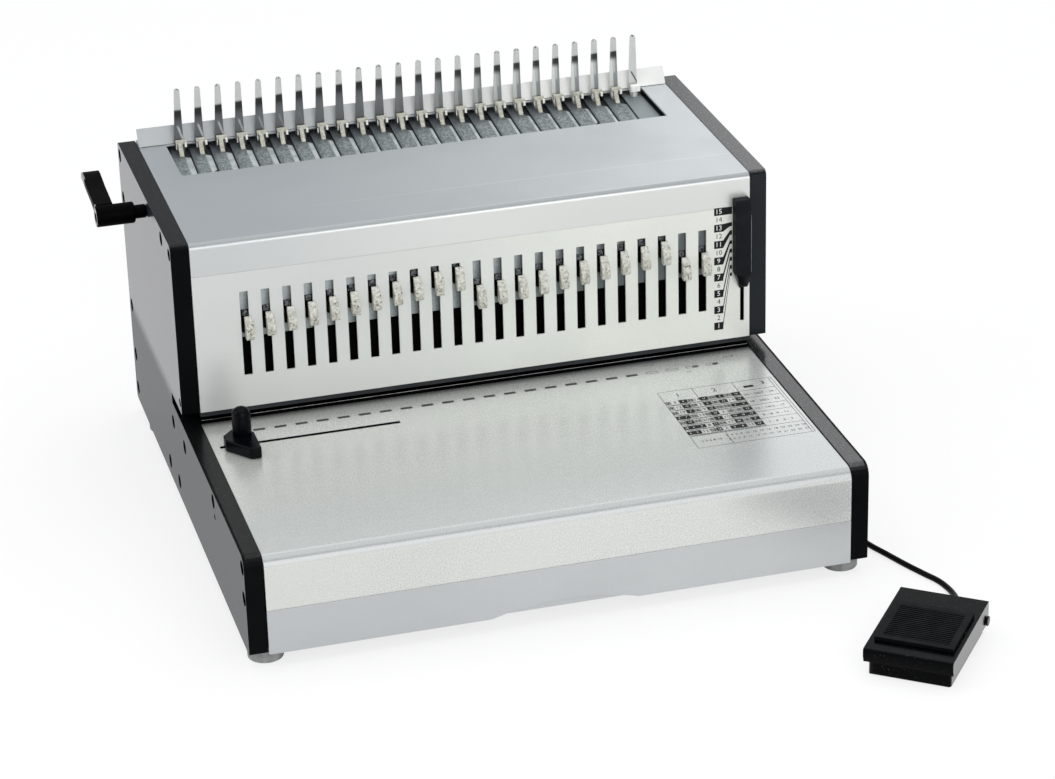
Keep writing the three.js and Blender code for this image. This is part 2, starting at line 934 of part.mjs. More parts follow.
place("drive_shaft", driveShaft(), finishes.steel);

// Pull tabs: each stands in its slot on a stem, just off its punch pin.

function pullTab(index) {
  const bottom = slotBottom + tabStart + rampStep(index) * tabStagger;
  const top = bottom + tabHeight;
  const backY = panelFrontY - seatGap;
  const frontY = panelFrontY - tabProud;
  const head = alongX(
    [
      [backY, bottom],
      [frontY + half(tabTopProud), bottom],
      [frontY, bottom + half(tabTopProud)],
      [frontY, top - tabShoulder],
      [panelFrontY - tabTopProud, top],
      [backY, top],
    ],
    centred(slotX(index), tabWidth),
  );
  const stem = block(
    centred(slotX(index), tabStemWidth),
    [backY - joinOverlap, pinFrontY - seatGap],
    [bottom + tabStemRise, bottom + tabStemRise + tabStemHeight],
  );
  return join(head, stem);
}

pins.forEach((index) => {
  const number = String(index + 1).padStart(2, "0");
  place(`pin_pull_${number}`, pullTab(index), finishes.ivory);
});

// Size stop: a tall slider on a stem through its slot, held by a keeper behind the panel.

function sizeStop() {
  const backY = panelFrontY - seatGap;
  const frontY = panelFrontY - stopProud;
  const slider = alongX(
    [
      [backY, stopBottom],
      [frontY, stopBottom + stopToeHeight],
      [frontY, stopTop - stopBevel],
      [frontY + stopBevel, stopTop],
      [backY, stopTop],
    ],
    [stopRight - stopWidth, stopRight],
  );
  const keeperY = panelBackY + seatGap;
  const stem = block(centred(stopSlotX, stopStemThickness), [backY - joinOverlap, keeperY + joinOverlap], stopStem);
  const keeper = block(centred(stopSlotX, keeperWidth), [keeperY, keeperY + keeperThickness], stopStem);
  return join(slider, stem, keeper);
}

place("size_stop", sizeStop(), finishes.blackPlastic);

// Edge guide: a block on the base with a stem and keeper through the groove, and its clamp knob.

const guideBottom = baseCoverTop + seatGap;
const guideTopZ = guideBottom + guideHeightAbove;

function edgeGuide() {
  const left = -innerHalf + guideInset;
  const right = left + guideWidth;
  const frontY = grooveY - guideFrontReach;
  const backY = grooveY + guideBackReach;
  const body = alongZ(
    [
      [right, frontY],
      [right, backY - guideNoseLength],
      [left + guideNoseWidth, backY],
      [left, backY - guideNoseLength],
      [left, frontY + guideCutBack],
      [left + guideCutSide, frontY],
    ],
    [guideBottom, guideTopZ],
  );
  const keeperTop = baseCoverTop - sheetThickness - seatGap;
  const stem = block(
    centred(knobX, guideStemLength),
    centred(grooveY, guideStemWidth),
    [keeperTop - joinOverlap, guideBottom + joinOverlap],
  );
  const keeper = block(
    centred(knobX, guideKeeperLength),
    centred(grooveY, guideKeeperWidth),
    [keeperTop - guideKeeperHeight, keeperTop],
  );
  return join(body, stem, keeper);
}

place("edge_guide", edgeGuide(), finishes.blackPlastic);

function guideKnob() {
  const radius = half(knobDiameter);
  const sphere = (radius * radius + knobDome * knobDome) / (2 * knobDome);
  const spread = Math.asin(radius / sphere);
  const dome = Array.from({ length: arcSteps }, (_, step) => {
    const angle = spread * (1 - step / arcSteps);
    return new THREE.Vector2(sphere * Math.sin(angle), knobHeight - sphere + sphere * Math.cos(angle));
  });
  const profile = [new THREE.Vector2(0, 0), new THREE.Vector2(radius, 0), ...dome, new THREE.Vector2(0, knobHeight)];
  const geometry = new THREE.LatheGeometry(profile, roundSides);
  geometry.rotateX(Math.PI / 2);
  geometry.translate(knobX, grooveY, guideTopZ + seatGap);
  return solidOf(geometry);
}

place("edge_guide_knob", guideKnob(), finishes.blackPlastic);

// Waste drawer: the scalloped front and the tray that catches the chips under the die.

function wasteDrawer() {
  const frontBackY = sheetThickness - coverProud;
  const scallopSphere = (half(scallopWidth) ** 2 + scallopRise ** 2) / (2 * scallopRise);
  const scallopSpread = Math.asin(half(scallopWidth) / scallopSphere);
  const scallop = Array.from({ length: 2 * arcSteps + 1 }, (_, step) => {
    const angle = scallopSpread * (step / arcSteps - 1);
    const rise = scallopRise - scallopSphere + scallopSphere * Math.cos(angle);
    return [scallopSphere * Math.sin(angle), plateBottom + rise];
  });
  const front = alongY(
    [
      [-coverHalf, drawerFrontTop],
      [-coverHalf, plateBottom],
      ...scallop,
      [coverHalf, plateBottom],
      [coverHalf, drawerFrontTop],
    ],
    [-coverProud, frontBackY],
  );
  const trayBottom = bottomPlateTop + seatGap;
  const trayHalf = innerHalf - trayInset;
  const shell = block([-trayHalf, trayHalf], [frontBackY - half(sheetThickness), trayLength], [trayBottom, trayBottom + trayHeight]);
  const hollow = block(
    [-trayHalf + sheetThickness, trayHalf - sheetThickness],
    [frontBackY + sheetThickness, trayLength - sheetThickness],
    [trayBottom + sheetThickness, trayBottom + trayHeight + overrun],
  );
  return join(front, cut(shell, hollow));
}

place("waste_drawer", wasteDrawer(), finishes.satinSilver);

// Drive motor with its gearbox round the drive shaft.

function driveMotor() {
  const gearboxXs = [gearboxLeft, gearboxLeft + gearboxWidth];
  const noseY = driveShaftY - gearboxNoseAhead;
  const footY = driveShaftY + gearboxFootBehind;
  const crownY = driveShaftY + gearboxCrownBehind;
  const backY = driveShaftY + gearboxBackBehind;
  const housing = alongX(
    [
      [footY, bottomPlateTop + seatGap],
      [backY, bottomPlateTop + seatGap],
      [backY, gearboxShoulder],
      [crownY, gearboxTop],
      [noseY, gearboxTop],
      [noseY, gearboxShoulder],
      [footY, gearboxChin],
    ],
    gearboxXs,
  );
  const motorAxis = [driveShaftY + motorBehind, motorRise];
  const motor = rod("x", [gearboxLeft - motorLength, gearboxLeft + joinOverlap], motorAxis, motorRadius);
  const bore = rod(
    "x",
    [gearboxLeft - overrun, gearboxXs[1] + overrun],
    [driveShaftY, driveShaftRise],
    half(driveShaftDiameter) + runningGap,
    smallSides,
  );
  return cut(join(housing, motor), bore);
}

place("drive_motor", driveMotor(), finishes.steel);

// Control board on four posts, with its transformer and relays.

function controlBoard() {
  const postBottom = bottomPlateTop + seatGap;
  const boardBottom = postBottom + boardPostHeight;
  const boardTop = boardBottom + boardThickness;
  const board = block([boardX, boardX + boardWidth], [boardY, boardY + boardDepth], [boardBottom, boardTop]);
  const posts = [boardX + boardPostInset, boardX + boardWidth - boardPostInset].flatMap((x) =>
    [boardY + boardPostInset, boardY + boardDepth - boardPostInset].map((y) =>
      rod("z", [postBottom, boardBottom + half(boardThickness)], [x, y], boardPostRadius, smallSides),
    ),
  );
  const coreX = boardX + boardPostInset;
  const coreY = boardY + boardDepth - boardPostInset - coreDepth;
  const core = block([coreX, coreX + coreWidth], [coreY, coreY + coreDepth], [boardTop - half(boardThickness), boardTop + coreHeight]);
  const relays = [0, 1].map((index) => {
    const x = coreX + coreWidth + relayGap;
    const y = coreY - relayGap + index * (relayDepth + relayGap);
    return block([x, x + relayWidth], [y, y + relayDepth], [boardTop - half(boardThickness), boardTop + relayHeight]);
  });
  return join(board, ...posts, core, ...relays);
}

place("control_board", controlBoard(), finishes.boardGreen);

// Feet: four tapered rubber discs.

const footX = innerHalf + plateThickness - footInset;
const footNames = { left: -footX, right: footX };
const footRows = { front: frontFootY, rear: rearFootY };
Object.entries(footRows).forEach(([row, y]) => {
  Object.entries(footNames).forEach(([side, x]) => {
    const foot = rod("z", [0, footHeight - seatGap], [x, y], half(footDiameter));
    place(`foot_${row}_${side}`, foot, finishes.greyRubber);
  });
});

// Pedal: a base tray with the treadle hinged at its rear.

const pedal = new THREE.Group();
pedal.position.set(pedalX, pedalY, 0);
pedal.rotation.z = THREE.MathUtils.degToRad(pedalTurnDegrees);
machine.add(pedal);

const pedalHalf = half(pedalWidth);
const pedalFront = -half(pedalLength);
const pedalRear = half(pedalLength);
const pedalBaseHalf = pedalHalf - pedalSheet - pedalBaseGap;
const pedalBaseRear = pedalRear - pedalBaseRearGap;
const pivotY = pedalRear - pivotInset;
const pivotAxis = [pivotY, pivotRise];
const treadleSlope = Math.atan2(pedalRearHeight - pedalFrontHeight, pedalLength);

function pedalBase() {
  const front = pedalFront + pedalSheet + pedalBaseFrontGap;
  const outline = [
    [front, 0, pedalBaseBevel],
    [pedalBaseRear, 0, pedalBaseBevel],
    [pedalBaseRear, pedalBaseHeight],
    [front, pedalBaseHeight],
  ];
  const body = alongX(outline, [-pedalBaseHalf, pedalBaseHalf]);
  const hollow = block(
    [-pedalBaseHalf + pedalSheet, pedalBaseHalf - pedalSheet],
    [front + pedalSheet, pedalBaseRear - pedalSheet],
    [pedalBaseFloor, pedalBaseHeight + overrun],
  );
  const pinBore = rod("x", [-pedalHalf, pedalHalf], pivotAxis, pivotRadius + seatGap, smallSides);
  const wall = [pedalBaseRear - 2 * pedalSheet, pedalBaseRear + overrun];
  const bootHole = rod("y", wall, [bootX, bootRise], bootTipRadius + seatGap, smallSides);
  return cut(body, hollow, pinBore, bootHole);
}

place("pedal_base", pedalBase(), finishes.blackPaint, pedal);

function pedalTreadle() {
  const shell = alongX(
    [
      [pedalFront, pedalFrontHeight - pedalLip],
      [pedalFront + pedalSheet, pedalFrontHeight - pedalFlangeFront],
      [pedalRear, pedalRearHeight - pedalFlangeRear],
      [pedalRear, pedalRearHeight],
      [pedalFront, pedalFrontHeight, pedalSheet],
    ],
    [-pedalHalf, pedalHalf],
  );
  const hollow = alongX(
    [
      [pedalFront + pedalSheet, 0],
      [pedalRear + overrun, 0],
      [pedalRear + overrun, pedalRearHeight - pedalSheet],
      [pedalFront + pedalSheet, pedalFrontHeight - pedalSheet],
    ],
    [-pedalHalf + pedalSheet, pedalHalf - pedalSheet],
  );
  const pinBore = rod("x", [-pedalHalf - overrun, pedalHalf + overrun], pivotAxis, pivotRadius + seatGap, smallSides);
  return cut(shell, hollow, pinBore);
}

place("pedal_treadle", pedalTreadle(), finishes.blackPaint, pedal);

// Tread pad: a rubber slab with a border and ribs, laid on the treadle's slope.

function treadPad() {
  const length = padLength;
  const slab = block(centred(0, padWidth), [-length, 0], [0, padThickness]);
  const ribTop = padThickness + padRibHeight;
  const border = cut(
    block(centred(0, padWidth), [-length, 0], [half(padThickness), ribTop]),
    block(
      centred(0, padWidth - 2 * padBorder),
      [padBorder - length, -padBorder],
      [0, ribTop + overrun],
    ),
  );
  const ribPitch = (length - 2 * padBorder) / padRibCount;
  const ribs = Array.from({ length: padRibCount }, (_, index) => {
    const middle = -padBorder - (index + 0.5) * ribPitch;
    return block(
      centred(0, padWidth - 2 * padBorder + half(padBorder)),
      centred(middle, ribPitch * padRibShare),
      [half(padThickness), ribTop],
    );
  });
  return join(slab, border, ...ribs);
}

const pad = place("pedal_tread_pad", treadPad(), finishes.blackRubber, pedal);
pad.position.set(0, pedalRear - padRearInset, pedalRearHeight - padRearInset * Math.tan(treadleSlope) + seatGap);
pad.rotation.x = treadleSlope;

function pivotPin() {
  const outer = pedalHalf + seatGap;
  const pin = rod("x", [-outer, outer], pivotAxis, pivotRadius, smallSides);
  const heads = [-1, 1].map((side) => {
    const ends = [side * outer, side * (outer + pivotHeadHeight)].sort((a, b) => a - b);
    return rod("x", ends, pivotAxis, pivotHeadRadius, smallSides);
  });
  return join(pin, ...heads);
}

place("pedal_pivot_pin", pivotPin(), finishes.steel, pedal);

// Microswitch on the floor of the pedal base, with its button under the treadle.

function microSwitch() {
  const bottom = pedalBaseFloor + seatGap;
  const body = block(centred(0, microWidth), centred(0, microDepth), [bottom, bottom + microHeight]);
  const button = rod("z", [bottom + half(microHeight), bottom + microHeight + microButton], [0, 0], microButton, smallSides);
  return join(body, button);
}

place("pedal_switch", microSwitch(), finishes.blackPlastic, pedal);

// Boot of the cord, through the rear wall of the pedal base.

const bootEndY = pedalBaseRear + seatGap + bootLength;

function pedalBoot() {
  const axis = [bootX, bootRise];
  const outside = pedalBaseRear + seatGap;
  const neck = rod("y", [pedalBaseRear - pedalSheet, outside + joinOverlap], axis, bootTipRadius, smallSides);
  const sleeve = rod("y", [outside, bootEndY], axis, bootRadius, smallSides, bootTipRadius);
  return join(neck, sleeve);
}

place("pedal_cord_boot", pedalBoot(), finishes.blackRubber, pedal);

// Cord: a free stretch from the gland, a flat coil behind the machine, and a long stretch to the pedal.

const cordRadius = half(cordDiameter);
const cordZ = cordRadius + cordLift;
const coilY = rearCoverBack + coilBehind;

// A closed tube along a list of centres. sides is the count of its flats, and start turns its first corner.
function tube(centres, radius, sides) {
  const positions = [];
  const indices = [];
  const up = new THREE.Vector3(0, 0, 1);
  centres.forEach((centre, ring) => {
    const ahead = centres[Math.min(ring + 1, centres.length - 1)].clone();
    const tangent = ahead.sub(centres[Math.max(ring - 1, 0)]).normalize();
    const side = new THREE.Vector3().crossVectors(tangent, up).normalize();
    const lift = new THREE.Vector3().crossVectors(side, tangent);
    for (let corner = 0; corner < sides; corner++) {
      const angle = ((corner + 0.5) / sides) * 2 * Math.PI;
      const point = centre.clone();
      point.addScaledVector(side, radius * Math.cos(angle));
      point.addScaledVector(lift, radius * Math.sin(angle));
      positions.push(point.x, point.y, point.z);
    }
  });
  const ringStart = (ring) => ring * sides;
  for (let ring = 0; ring < centres.length - 1; ring++) {
    for (let corner = 0; corner < sides; corner++) {
      const next = (corner + 1) % sides;
      const a = ringStart(ring) + corner;
      const b = ringStart(ring) + next;
      const c = ringStart(ring + 1) + next;
      const d = ringStart(ring + 1) + corner;
      indices.push(a, c, b, a, d, c);
    }
  }
  const last = ringStart(centres.length - 1);
  for (let corner = 1; corner < sides - 1; corner++) {
    indices.push(0, corner, corner + 1);
    indices.push(last, last + corner + 1, last + corner);
  }
  const geometry = new THREE.BufferGeometry();
  geometry.setAttribute("position", new THREE.Float32BufferAttribute(positions, 3));
  geometry.setIndex(indices);
  return geometry;
}

// The coil winds inwards on the table, climbs one layer in the half turn where it reverses, and winds out again.
const coilLayerRise = coilPitch;
const coilReach = coilMiddleRadius + (coilTurns / 4) * coilPitch;

function coilPoint(turn) {
  const fromReverse = turn - half(coilTurns);
  const radius = coilReach - coilPitch * (half(coilTurns) - Math.abs(fromReverse));
  const climb = THREE.MathUtils.smoothstep(fromReverse, -0.25, 0.25);
  const angle = (coilStartTurnShare + turn) * 2 * Math.PI;
  return new THREE.Vector3(
    coilX + radius * Math.cos(angle),
    coilY + radius * Math.sin(angle),
    cordZ + climb * coilLayerRise,
  );
}

function coilCentres() {
  const steps = Math.round(coilTurns * coilStepsPerTurn);
  const turns = Array.from({ length: steps + 1 }, (_, step) => (step / steps) * coilTurns);
  const centres = turns.map(coilPoint);
  const start = centres[0].clone().add(new THREE.Vector3(cordDiameter, 0, 0));
  const end = centres[steps].clone().add(new THREE.Vector3(cordDiameter, 0, 0));
  return [start, ...centres, end];
}

// The least distance between the surfaces of turns that aren't neighbours along the cord.
function leastCoilGap(centres) {
  let least = Infinity;
  centres.forEach((centre, first) => {
    for (let second = first + half(coilStepsPerTurn); second < centres.length; second++) {
      least = Math.min(least, centre.distanceTo(centres[second]) - cordDiameter);
    }
  });
  return least;
}

const coil = coilCentres();
const coilGap = leastCoilGap(coil);
console.log(`least gap between the coil's turns: ${coilGap.toFixed(2)} mm`);
if (coilGap < coilLeast) throw new Error("the coil's turns are too close");
place("cord_coil", solidOf(tube(coil, cordRadius, coilSides)), finishes.blackRubber);

// A smooth free stretch through chosen points, with straight ends one cord diameter long.
function freeStretch(points, steps) {
  const extrudePath = new THREE.CatmullRomCurve3(points, false, "centripetal");
  const corners = Array.from({ length: cordSides }, (_, corner) =>
    new THREE.Vector2(cordRadius, 0).rotateAround(new THREE.Vector2(), (corner / cordSides) * 2 * Math.PI),
  );
  return new THREE.ExtrudeGeometry(new THREE.Shape(corners), { steps, extrudePath, bevelEnabled: false });
}

const coilIn = coil[0];
const coilOut = coil[coil.length - 1];
const glandEndY = rearCoverBack + seatGap + glandLength + seatGap;

const glandStretch = [
  [glandX, glandEndY, glandRise],
  [glandX, glandEndY + cordDiameter, glandRise],
  [164.6, 421, 17.6],
  [162.6, 430, 12.6],
  [158.9, 440, 7.4],
  [153.2, 449.5, 3.9],
  [145, 459, 2.3],
  [134, 467, cordZ],
  [121, 471.8, cordZ],
  [coilIn.x + cordDiameter + seatGap, coilIn.y, coilIn.z],
  [coilIn.x + seatGap, coilIn.y, coilIn.z],
].map((point) => new THREE.Vector3(...point));
const glandSteps = 18;
place("cord_from_gland", solidOf(freeStretch(glandStretch, glandSteps)), finishes.blackRubber);

const bootEnd = new THREE.Vector3(bootX, bootEndY + seatGap, bootRise);
const bootLead = new THREE.Vector3(bootX, bootEndY + seatGap + cordDiameter, bootRise);
pedal.updateMatrixWorld(true);
bootEnd.applyMatrix4(pedal.matrix);
bootLead.applyMatrix4(pedal.matrix);

const pedalStretch = [
  [coilOut.x + seatGap, coilOut.y, coilOut.z],
  [coilOut.x + seatGap + cordDiameter, coilOut.y, coilOut.z],
  [118, 409.6, 5.4],
  [130, 409, 3],
  [145, 408.6, cordZ],
  [165, 408.8, cordZ],
  [185, 408.4, cordZ],
  [200, 403.4, cordZ],
  [209, 391, cordZ],
  [211, 374, cordZ],
  [209.6, 340, cordZ],
  [208.6, 300, cordZ],
  [209, 255, cordZ],
  [210, 205, cordZ],
  [210.4, 155, cordZ],
  [209.4, 110, cordZ],
  [209, 80, cordZ],
  [210.6, 56, cordZ],
  [215.8, 32.3, cordZ],
  [221.8, 16.2, cordZ],
  [228.9, -2.8, cordZ],
  [235.8, -19.1, cordZ],
  [240.2, -29.2, cordZ],
  [242.2, -39.7, 2.2],
  [242, -49.6, 3.1],
  [240.1, -59, 5],
  [237, -66.5, 6.6],
]
  .map((point) => new THREE.Vector3(...point))
  .concat([bootLead, bootEnd]);
const pedalSteps = 62;
place("cord_to_pedal", solidOf(freeStretch(pedalStretch, pedalSteps)), finishes.blackRubber);

// The origin: the middle of the box of the machine and its pedal, without the cord, on the table.
const cordNames = ["cord_coil", "cord_from_gland", "cord_to_pedal", "cord_gland", "pedal_cord_boot"];
const extent = new THREE.Box3();
machine.updateMatrixWorld(true);
machine.traverse((piece) => {
  if (piece.isMesh && !cordNames.includes(piece.name)) extent.expandByObject(piece, true);
});
const middle = extent.getCenter(new THREE.Vector3());
machine.position.set(-middle.x, -middle.y, -extent.min.z);
console.log(`middle of the machine and its pedal: ${middle.x.toFixed(4)}, ${middle.y.toFixed(4)} mm`);

const assembly = new THREE.Group();
assembly.add(machine);

export default assembly;
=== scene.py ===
"""An electric comb binding machine and its foot pedal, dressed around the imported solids.

Sizes are in millimetres in the machine's own frame: X = 0 is its middle, Y = 0 the front of
its side plates and Z = 0 the table. A finished piece is put into the row frame, in metres.
"""

import logging
import math
from collections.abc import Callable, Mapping, Sequence
from dataclasses import dataclass
from enum import Enum

import bmesh
import bpy
from mathutils import Matrix, Vector


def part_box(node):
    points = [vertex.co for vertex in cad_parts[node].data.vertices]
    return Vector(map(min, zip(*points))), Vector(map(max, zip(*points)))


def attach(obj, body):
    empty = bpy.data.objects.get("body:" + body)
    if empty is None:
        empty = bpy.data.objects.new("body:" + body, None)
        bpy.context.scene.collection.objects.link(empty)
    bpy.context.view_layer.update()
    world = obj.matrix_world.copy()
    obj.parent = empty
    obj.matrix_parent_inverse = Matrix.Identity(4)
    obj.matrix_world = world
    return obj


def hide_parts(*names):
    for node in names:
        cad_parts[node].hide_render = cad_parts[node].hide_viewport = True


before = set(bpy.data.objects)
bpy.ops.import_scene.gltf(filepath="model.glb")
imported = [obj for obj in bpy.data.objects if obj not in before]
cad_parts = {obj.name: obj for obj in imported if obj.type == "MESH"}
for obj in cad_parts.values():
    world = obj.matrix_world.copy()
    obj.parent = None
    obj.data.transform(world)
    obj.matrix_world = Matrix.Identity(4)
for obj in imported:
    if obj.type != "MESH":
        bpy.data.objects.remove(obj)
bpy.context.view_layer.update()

log = logging.getLogger("comb_binder")

MM = 0.001
Span = tuple[float, float]
Point = tuple[float, float, float]
Colour = tuple[float, float, float, float]
Socket = bpy.types.NodeSocket

# The distance from a finger or a slot to the next, which is 9/16 of an inch.
PITCH = 14.2875


def find_datum() -> Vector:
    """Find where the machine's own origin lies in the row frame.

    Returns:
        The point on the table midway between the side plates, at their front.
    """
    left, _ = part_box("left_side_plate")
    _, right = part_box("right_side_plate")
    return Vector(((left.x + right.x) / 2, left.y, 0.0))


DATUM = find_datum()
INTO_ROW = Matrix.Translation(DATUM) @ Matrix.Scale(MM, 4)


def row_point(x: float, y: float, z: float) -> Vector:
    """Put a point of the machine's frame, in millimetres, into the row frame, in metres."""
    return INTO_ROW @ Vector((x, y, z))


class NodeBox:
    """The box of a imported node, in the machine's millimetres."""

    def __init__(self, node: str) -> None:
        """Measure the node at rest.

        Args:
            node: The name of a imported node.
        """
        low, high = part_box(node)
        into_machine = INTO_ROW.inverted()
        self.low = into_machine @ low
        self.high = into_machine @ high

    @property
    def middle(self) -> Vector:
        """The middle of the box."""
        return (self.low + self.high) / 2


def linear(part: int) -> float:
    """Undo the screen's curve for one part, from 0 to 255, of a colour."""
    share = part / 255
    return share / 12.92 if share <= 0.04045 else ((share + 0.055) / 1.055) ** 2.4


def tone(red: int, green: int, blue: int) -> Colour:
    """Turn a screen colour of 0 to 255 into the linear colour that a shader takes."""
    return (linear(red), linear(green), linear(blue), 1.0)


def stand(name: str, data: bpy.types.ID) -> bpy.types.Object:
    """Make an object of some data and put it into the scene.

    Args:
        name: The object's name.
        data: Its mesh, curve, lamp or camera.

    Returns:
        The object.
    """
    made = bpy.data.objects.new(name, data)
    bpy.context.scene.collection.objects.link(made)
    return made


def settled_mesh(carrier: bpy.types.Object) -> bpy.types.Mesh:
    """Work out an object's mesh, with what its modifiers or its curve make of it."""
    depsgraph = bpy.context.evaluated_depsgraph_get()
    return bpy.data.meshes.new_from_object(carrier.evaluated_get(depsgraph), depsgraph=depsgraph)


# Shaders


class Signal:
    """A number socket on which Python's operators add Math nodes."""

    def __init__(self, graph: "Graph", socket: Socket) -> None:
        """Wrap an output socket of a graph."""
        self.graph = graph
        self.socket = socket

    def _math(self, operation: str, first: object, second: object) -> "Signal":
        """Add one Math node to the graph, and return its result."""
        made = self.graph.node("ShaderNodeMath", {"operation": operation}, {0: first, 1: second})
        return Signal(self.graph, made.outputs[0])

    def __add__(self, other: "Signal | float") -> "Signal":
        """Add."""
        return self._math("ADD", self, other)

    def __radd__(self, other: float) -> "Signal":
        """Add to a plain number."""
        return self._math("ADD", other, self)

    def __sub__(self, other: "Signal | float") -> "Signal":
        """Subtract."""
        return self._math("SUBTRACT", self, other)

    def __rsub__(self, other: float) -> "Signal":
        """Subtract from a plain number."""
        return self._math("SUBTRACT", other, self)

    def __mul__(self, other: "Signal | float") -> "Signal":
        """Multiply."""
        return self._math("MULTIPLY", self, other)

    def __rmul__(self, other: float) -> "Signal":
        """Multiply a plain number."""
        return self._math("MULTIPLY", other, self)

    def __abs__(self) -> "Signal":
        """Drop the sign."""
        return self._math("ABSOLUTE", self, 0.0)

    def wrapped(self, period: float) -> "Signal":
        """Repeat the value from 0 to a period."""
        return self._math("FLOORED_MODULO", self, period)

    def ramp(self, start: float, end: float) -> "Signal":
        """Rise smoothly from 0 at one value to 1 at another.

        Args:
            start: The value at which the result is 0.
            end: The value at which the result is 1, which may be the lower one.

        Returns:
            The smooth step between them.
        """
        low, high = min(start, end), max(start, end)
        made = self.graph.node(
            "ShaderNodeMapRange",
            {"interpolation_type": "SMOOTHSTEP"},
            {"Value": self, "From Min": low, "From Max": high, "To Min": 0.0, "To Max": 1.0},
        )
        risen = Signal(self.graph, made.outputs["Result"])
        return risen if start <= end else 1.0 - risen

    def band(self, start: float, end: float, soft: float) -> "Signal":
        """Be 1 between two values and fade to 0 over a soft edge outside them."""
        return self.ramp(start - soft, start) * self.ramp(end + soft, end)


class Graph:
    """The node tree of a material or a world, filled one node at a time."""

    def __init__(self, owner: bpy.types.Material | bpy.types.World) -> None:
        """Start with the texture coordinates alone.

        Args:
            owner: The new material or world.
        """
        owner.use_nodes = True
        self.tree = owner.node_tree
        self.tree.nodes.clear()
        self.coordinates = self.node("ShaderNodeTexCoord").outputs

    def node(
        self, kind: str, settings: Mapping[str, object] | None = None,
        values: Mapping[str | int, object] | None = None,
    ) -> bpy.types.Node:
        """Add a node of any type.

        Args:
            kind: The node's type.
            settings: Its settings, which are made first.
            values: The values or links of its sockets.

        Returns:
            The node.
        """
        made = self.tree.nodes.new(kind)
        for name, value in (settings or {}).items():
            if name == "stops":
                self._set_stops(made, value)
            else:
                setattr(made, name, value)
        for key, value in (values or {}).items():
            self.feed(made.inputs[key], value)
        return made

    @staticmethod
    def _set_stops(ramp: bpy.types.Node, stops: Sequence[tuple[float, Colour]]) -> None:
        """Set the stops of a colour ramp.

        Args:
            ramp: The ramp's node.
            stops: The place and the colour of each stop.
        """
        elements = ramp.color_ramp.elements
        while len(elements) > 1:
            elements.remove(elements[-1])
        elements[0].position, elements[0].color = stops[0]
        for position, colour in stops[1:]:
            elements.new(position).color = colour

    def feed(self, socket: Socket, value: object) -> None:
        """Give a socket its value.

        Args:
            socket: An input socket.
            value: A constant, another socket or a signal.
        """
        source = value.socket if isinstance(value, Signal) else value
        if isinstance(source, Socket):
            self.tree.links.new(source, socket)
        else:
            socket.default_value = source


class Paint(Graph):
    """The node tree of one material, with one Principled shader."""

    def __init__(self, name: str) -> None:
        """Start the material.

        Args:
            name: The material's name.
        """
        self.material = bpy.data.materials.new(name)
        super().__init__(self.material)
        self.shader = self.node("ShaderNodeBsdfPrincipled")
        self.output = self.node("ShaderNodeOutputMaterial", values={"Surface": self.shader.outputs[0]})
        self.place = self.coordinates["Object"]

    def set(self, **values: object) -> None:
        """Fill sockets of the Principled shader, with underscores for the spaces in their names."""
        for name, value in values.items():
            self.feed(self.shader.inputs[name.replace("_", " ")], value)

    def mix(self, share: Signal | float, first: object, second: object) -> Socket:
        """Blend from the first colour, at a share of 0, to the second, at a share of 1."""
        made = self.node("ShaderNodeMix", {"data_type": "RGBA"}, {0: share, 6: first, 7: second})
        return made.outputs[2]

    def noise(self, size: float, detail: float = 2.0, stretch: Point | None = None) -> Signal:
        """Make smooth noise.

        Args:
            size: The size of its patches in millimetres.
            detail: How many finer layers it has.
            stretch: How much longer the patches are along each axis, or nothing.

        Returns:
            The noise, from 0 to 1 and mostly near a half.
        """
        vector = self.place
        if stretch is not None:
            stretching = {"Vector": vector, "Scale": stretch}
            vector = self.node("ShaderNodeMapping", {"vector_type": "TEXTURE"}, stretching).outputs[0]
        patches = {"Vector": vector, "Scale": 1 / (size * MM), "Detail": detail}
        return Signal(self, self.node("ShaderNodeTexNoise", {}, patches).outputs[0])

    def cells(self, size: float) -> tuple[Signal, Socket]:
        """Make crystal cells: the distance to each cell's middle, and a random colour for each."""
        made = self.node("ShaderNodeTexVoronoi", {}, {"Vector": self.place, "Scale": 1 / (size * MM)})
        return Signal(self, made.outputs["Distance"]), made.outputs["Color"]

    def part(self, vector: Socket, index: int) -> Signal:
        """Take one part of a vector: 0, 1 or 2 for X, Y or Z."""
        return Signal(self, self.node("ShaderNodeSeparateXYZ", {}, {0: vector}).outputs[index])

    def axis(self, index: int) -> Signal:
        """Read one object coordinate, 0, 1 or 2 for X, Y or Z, in the machine's millimetres."""
        return (self.part(self.place, index) - DATUM[index]) * (1 / MM)

    def facing(self, index: int) -> Signal:
        """Read one part of the surface's own direction, from -1 to 1."""
        return self.part(self.coordinates["Normal"], index)

    def forward(self, start: float, end: float) -> Signal:
        """Find the faces that look forwards, with a soft step by how straight they do."""
        return (self.facing(1) * -1.0).ramp(start, end)

    def flat(self) -> Signal:
        """Find the flats that look up."""
        return self.facing(2).ramp(0.9, 0.99)

    def relief(self, height: Signal, depth: float) -> None:
        """Feed a bump of a height, whose full range is a depth in millimetres, to the normal."""
        bump = {"Distance": depth * MM, "Height": height}
        self.set(Normal=self.node("ShaderNodeBump", {}, bump).outputs[0])


# Finishes


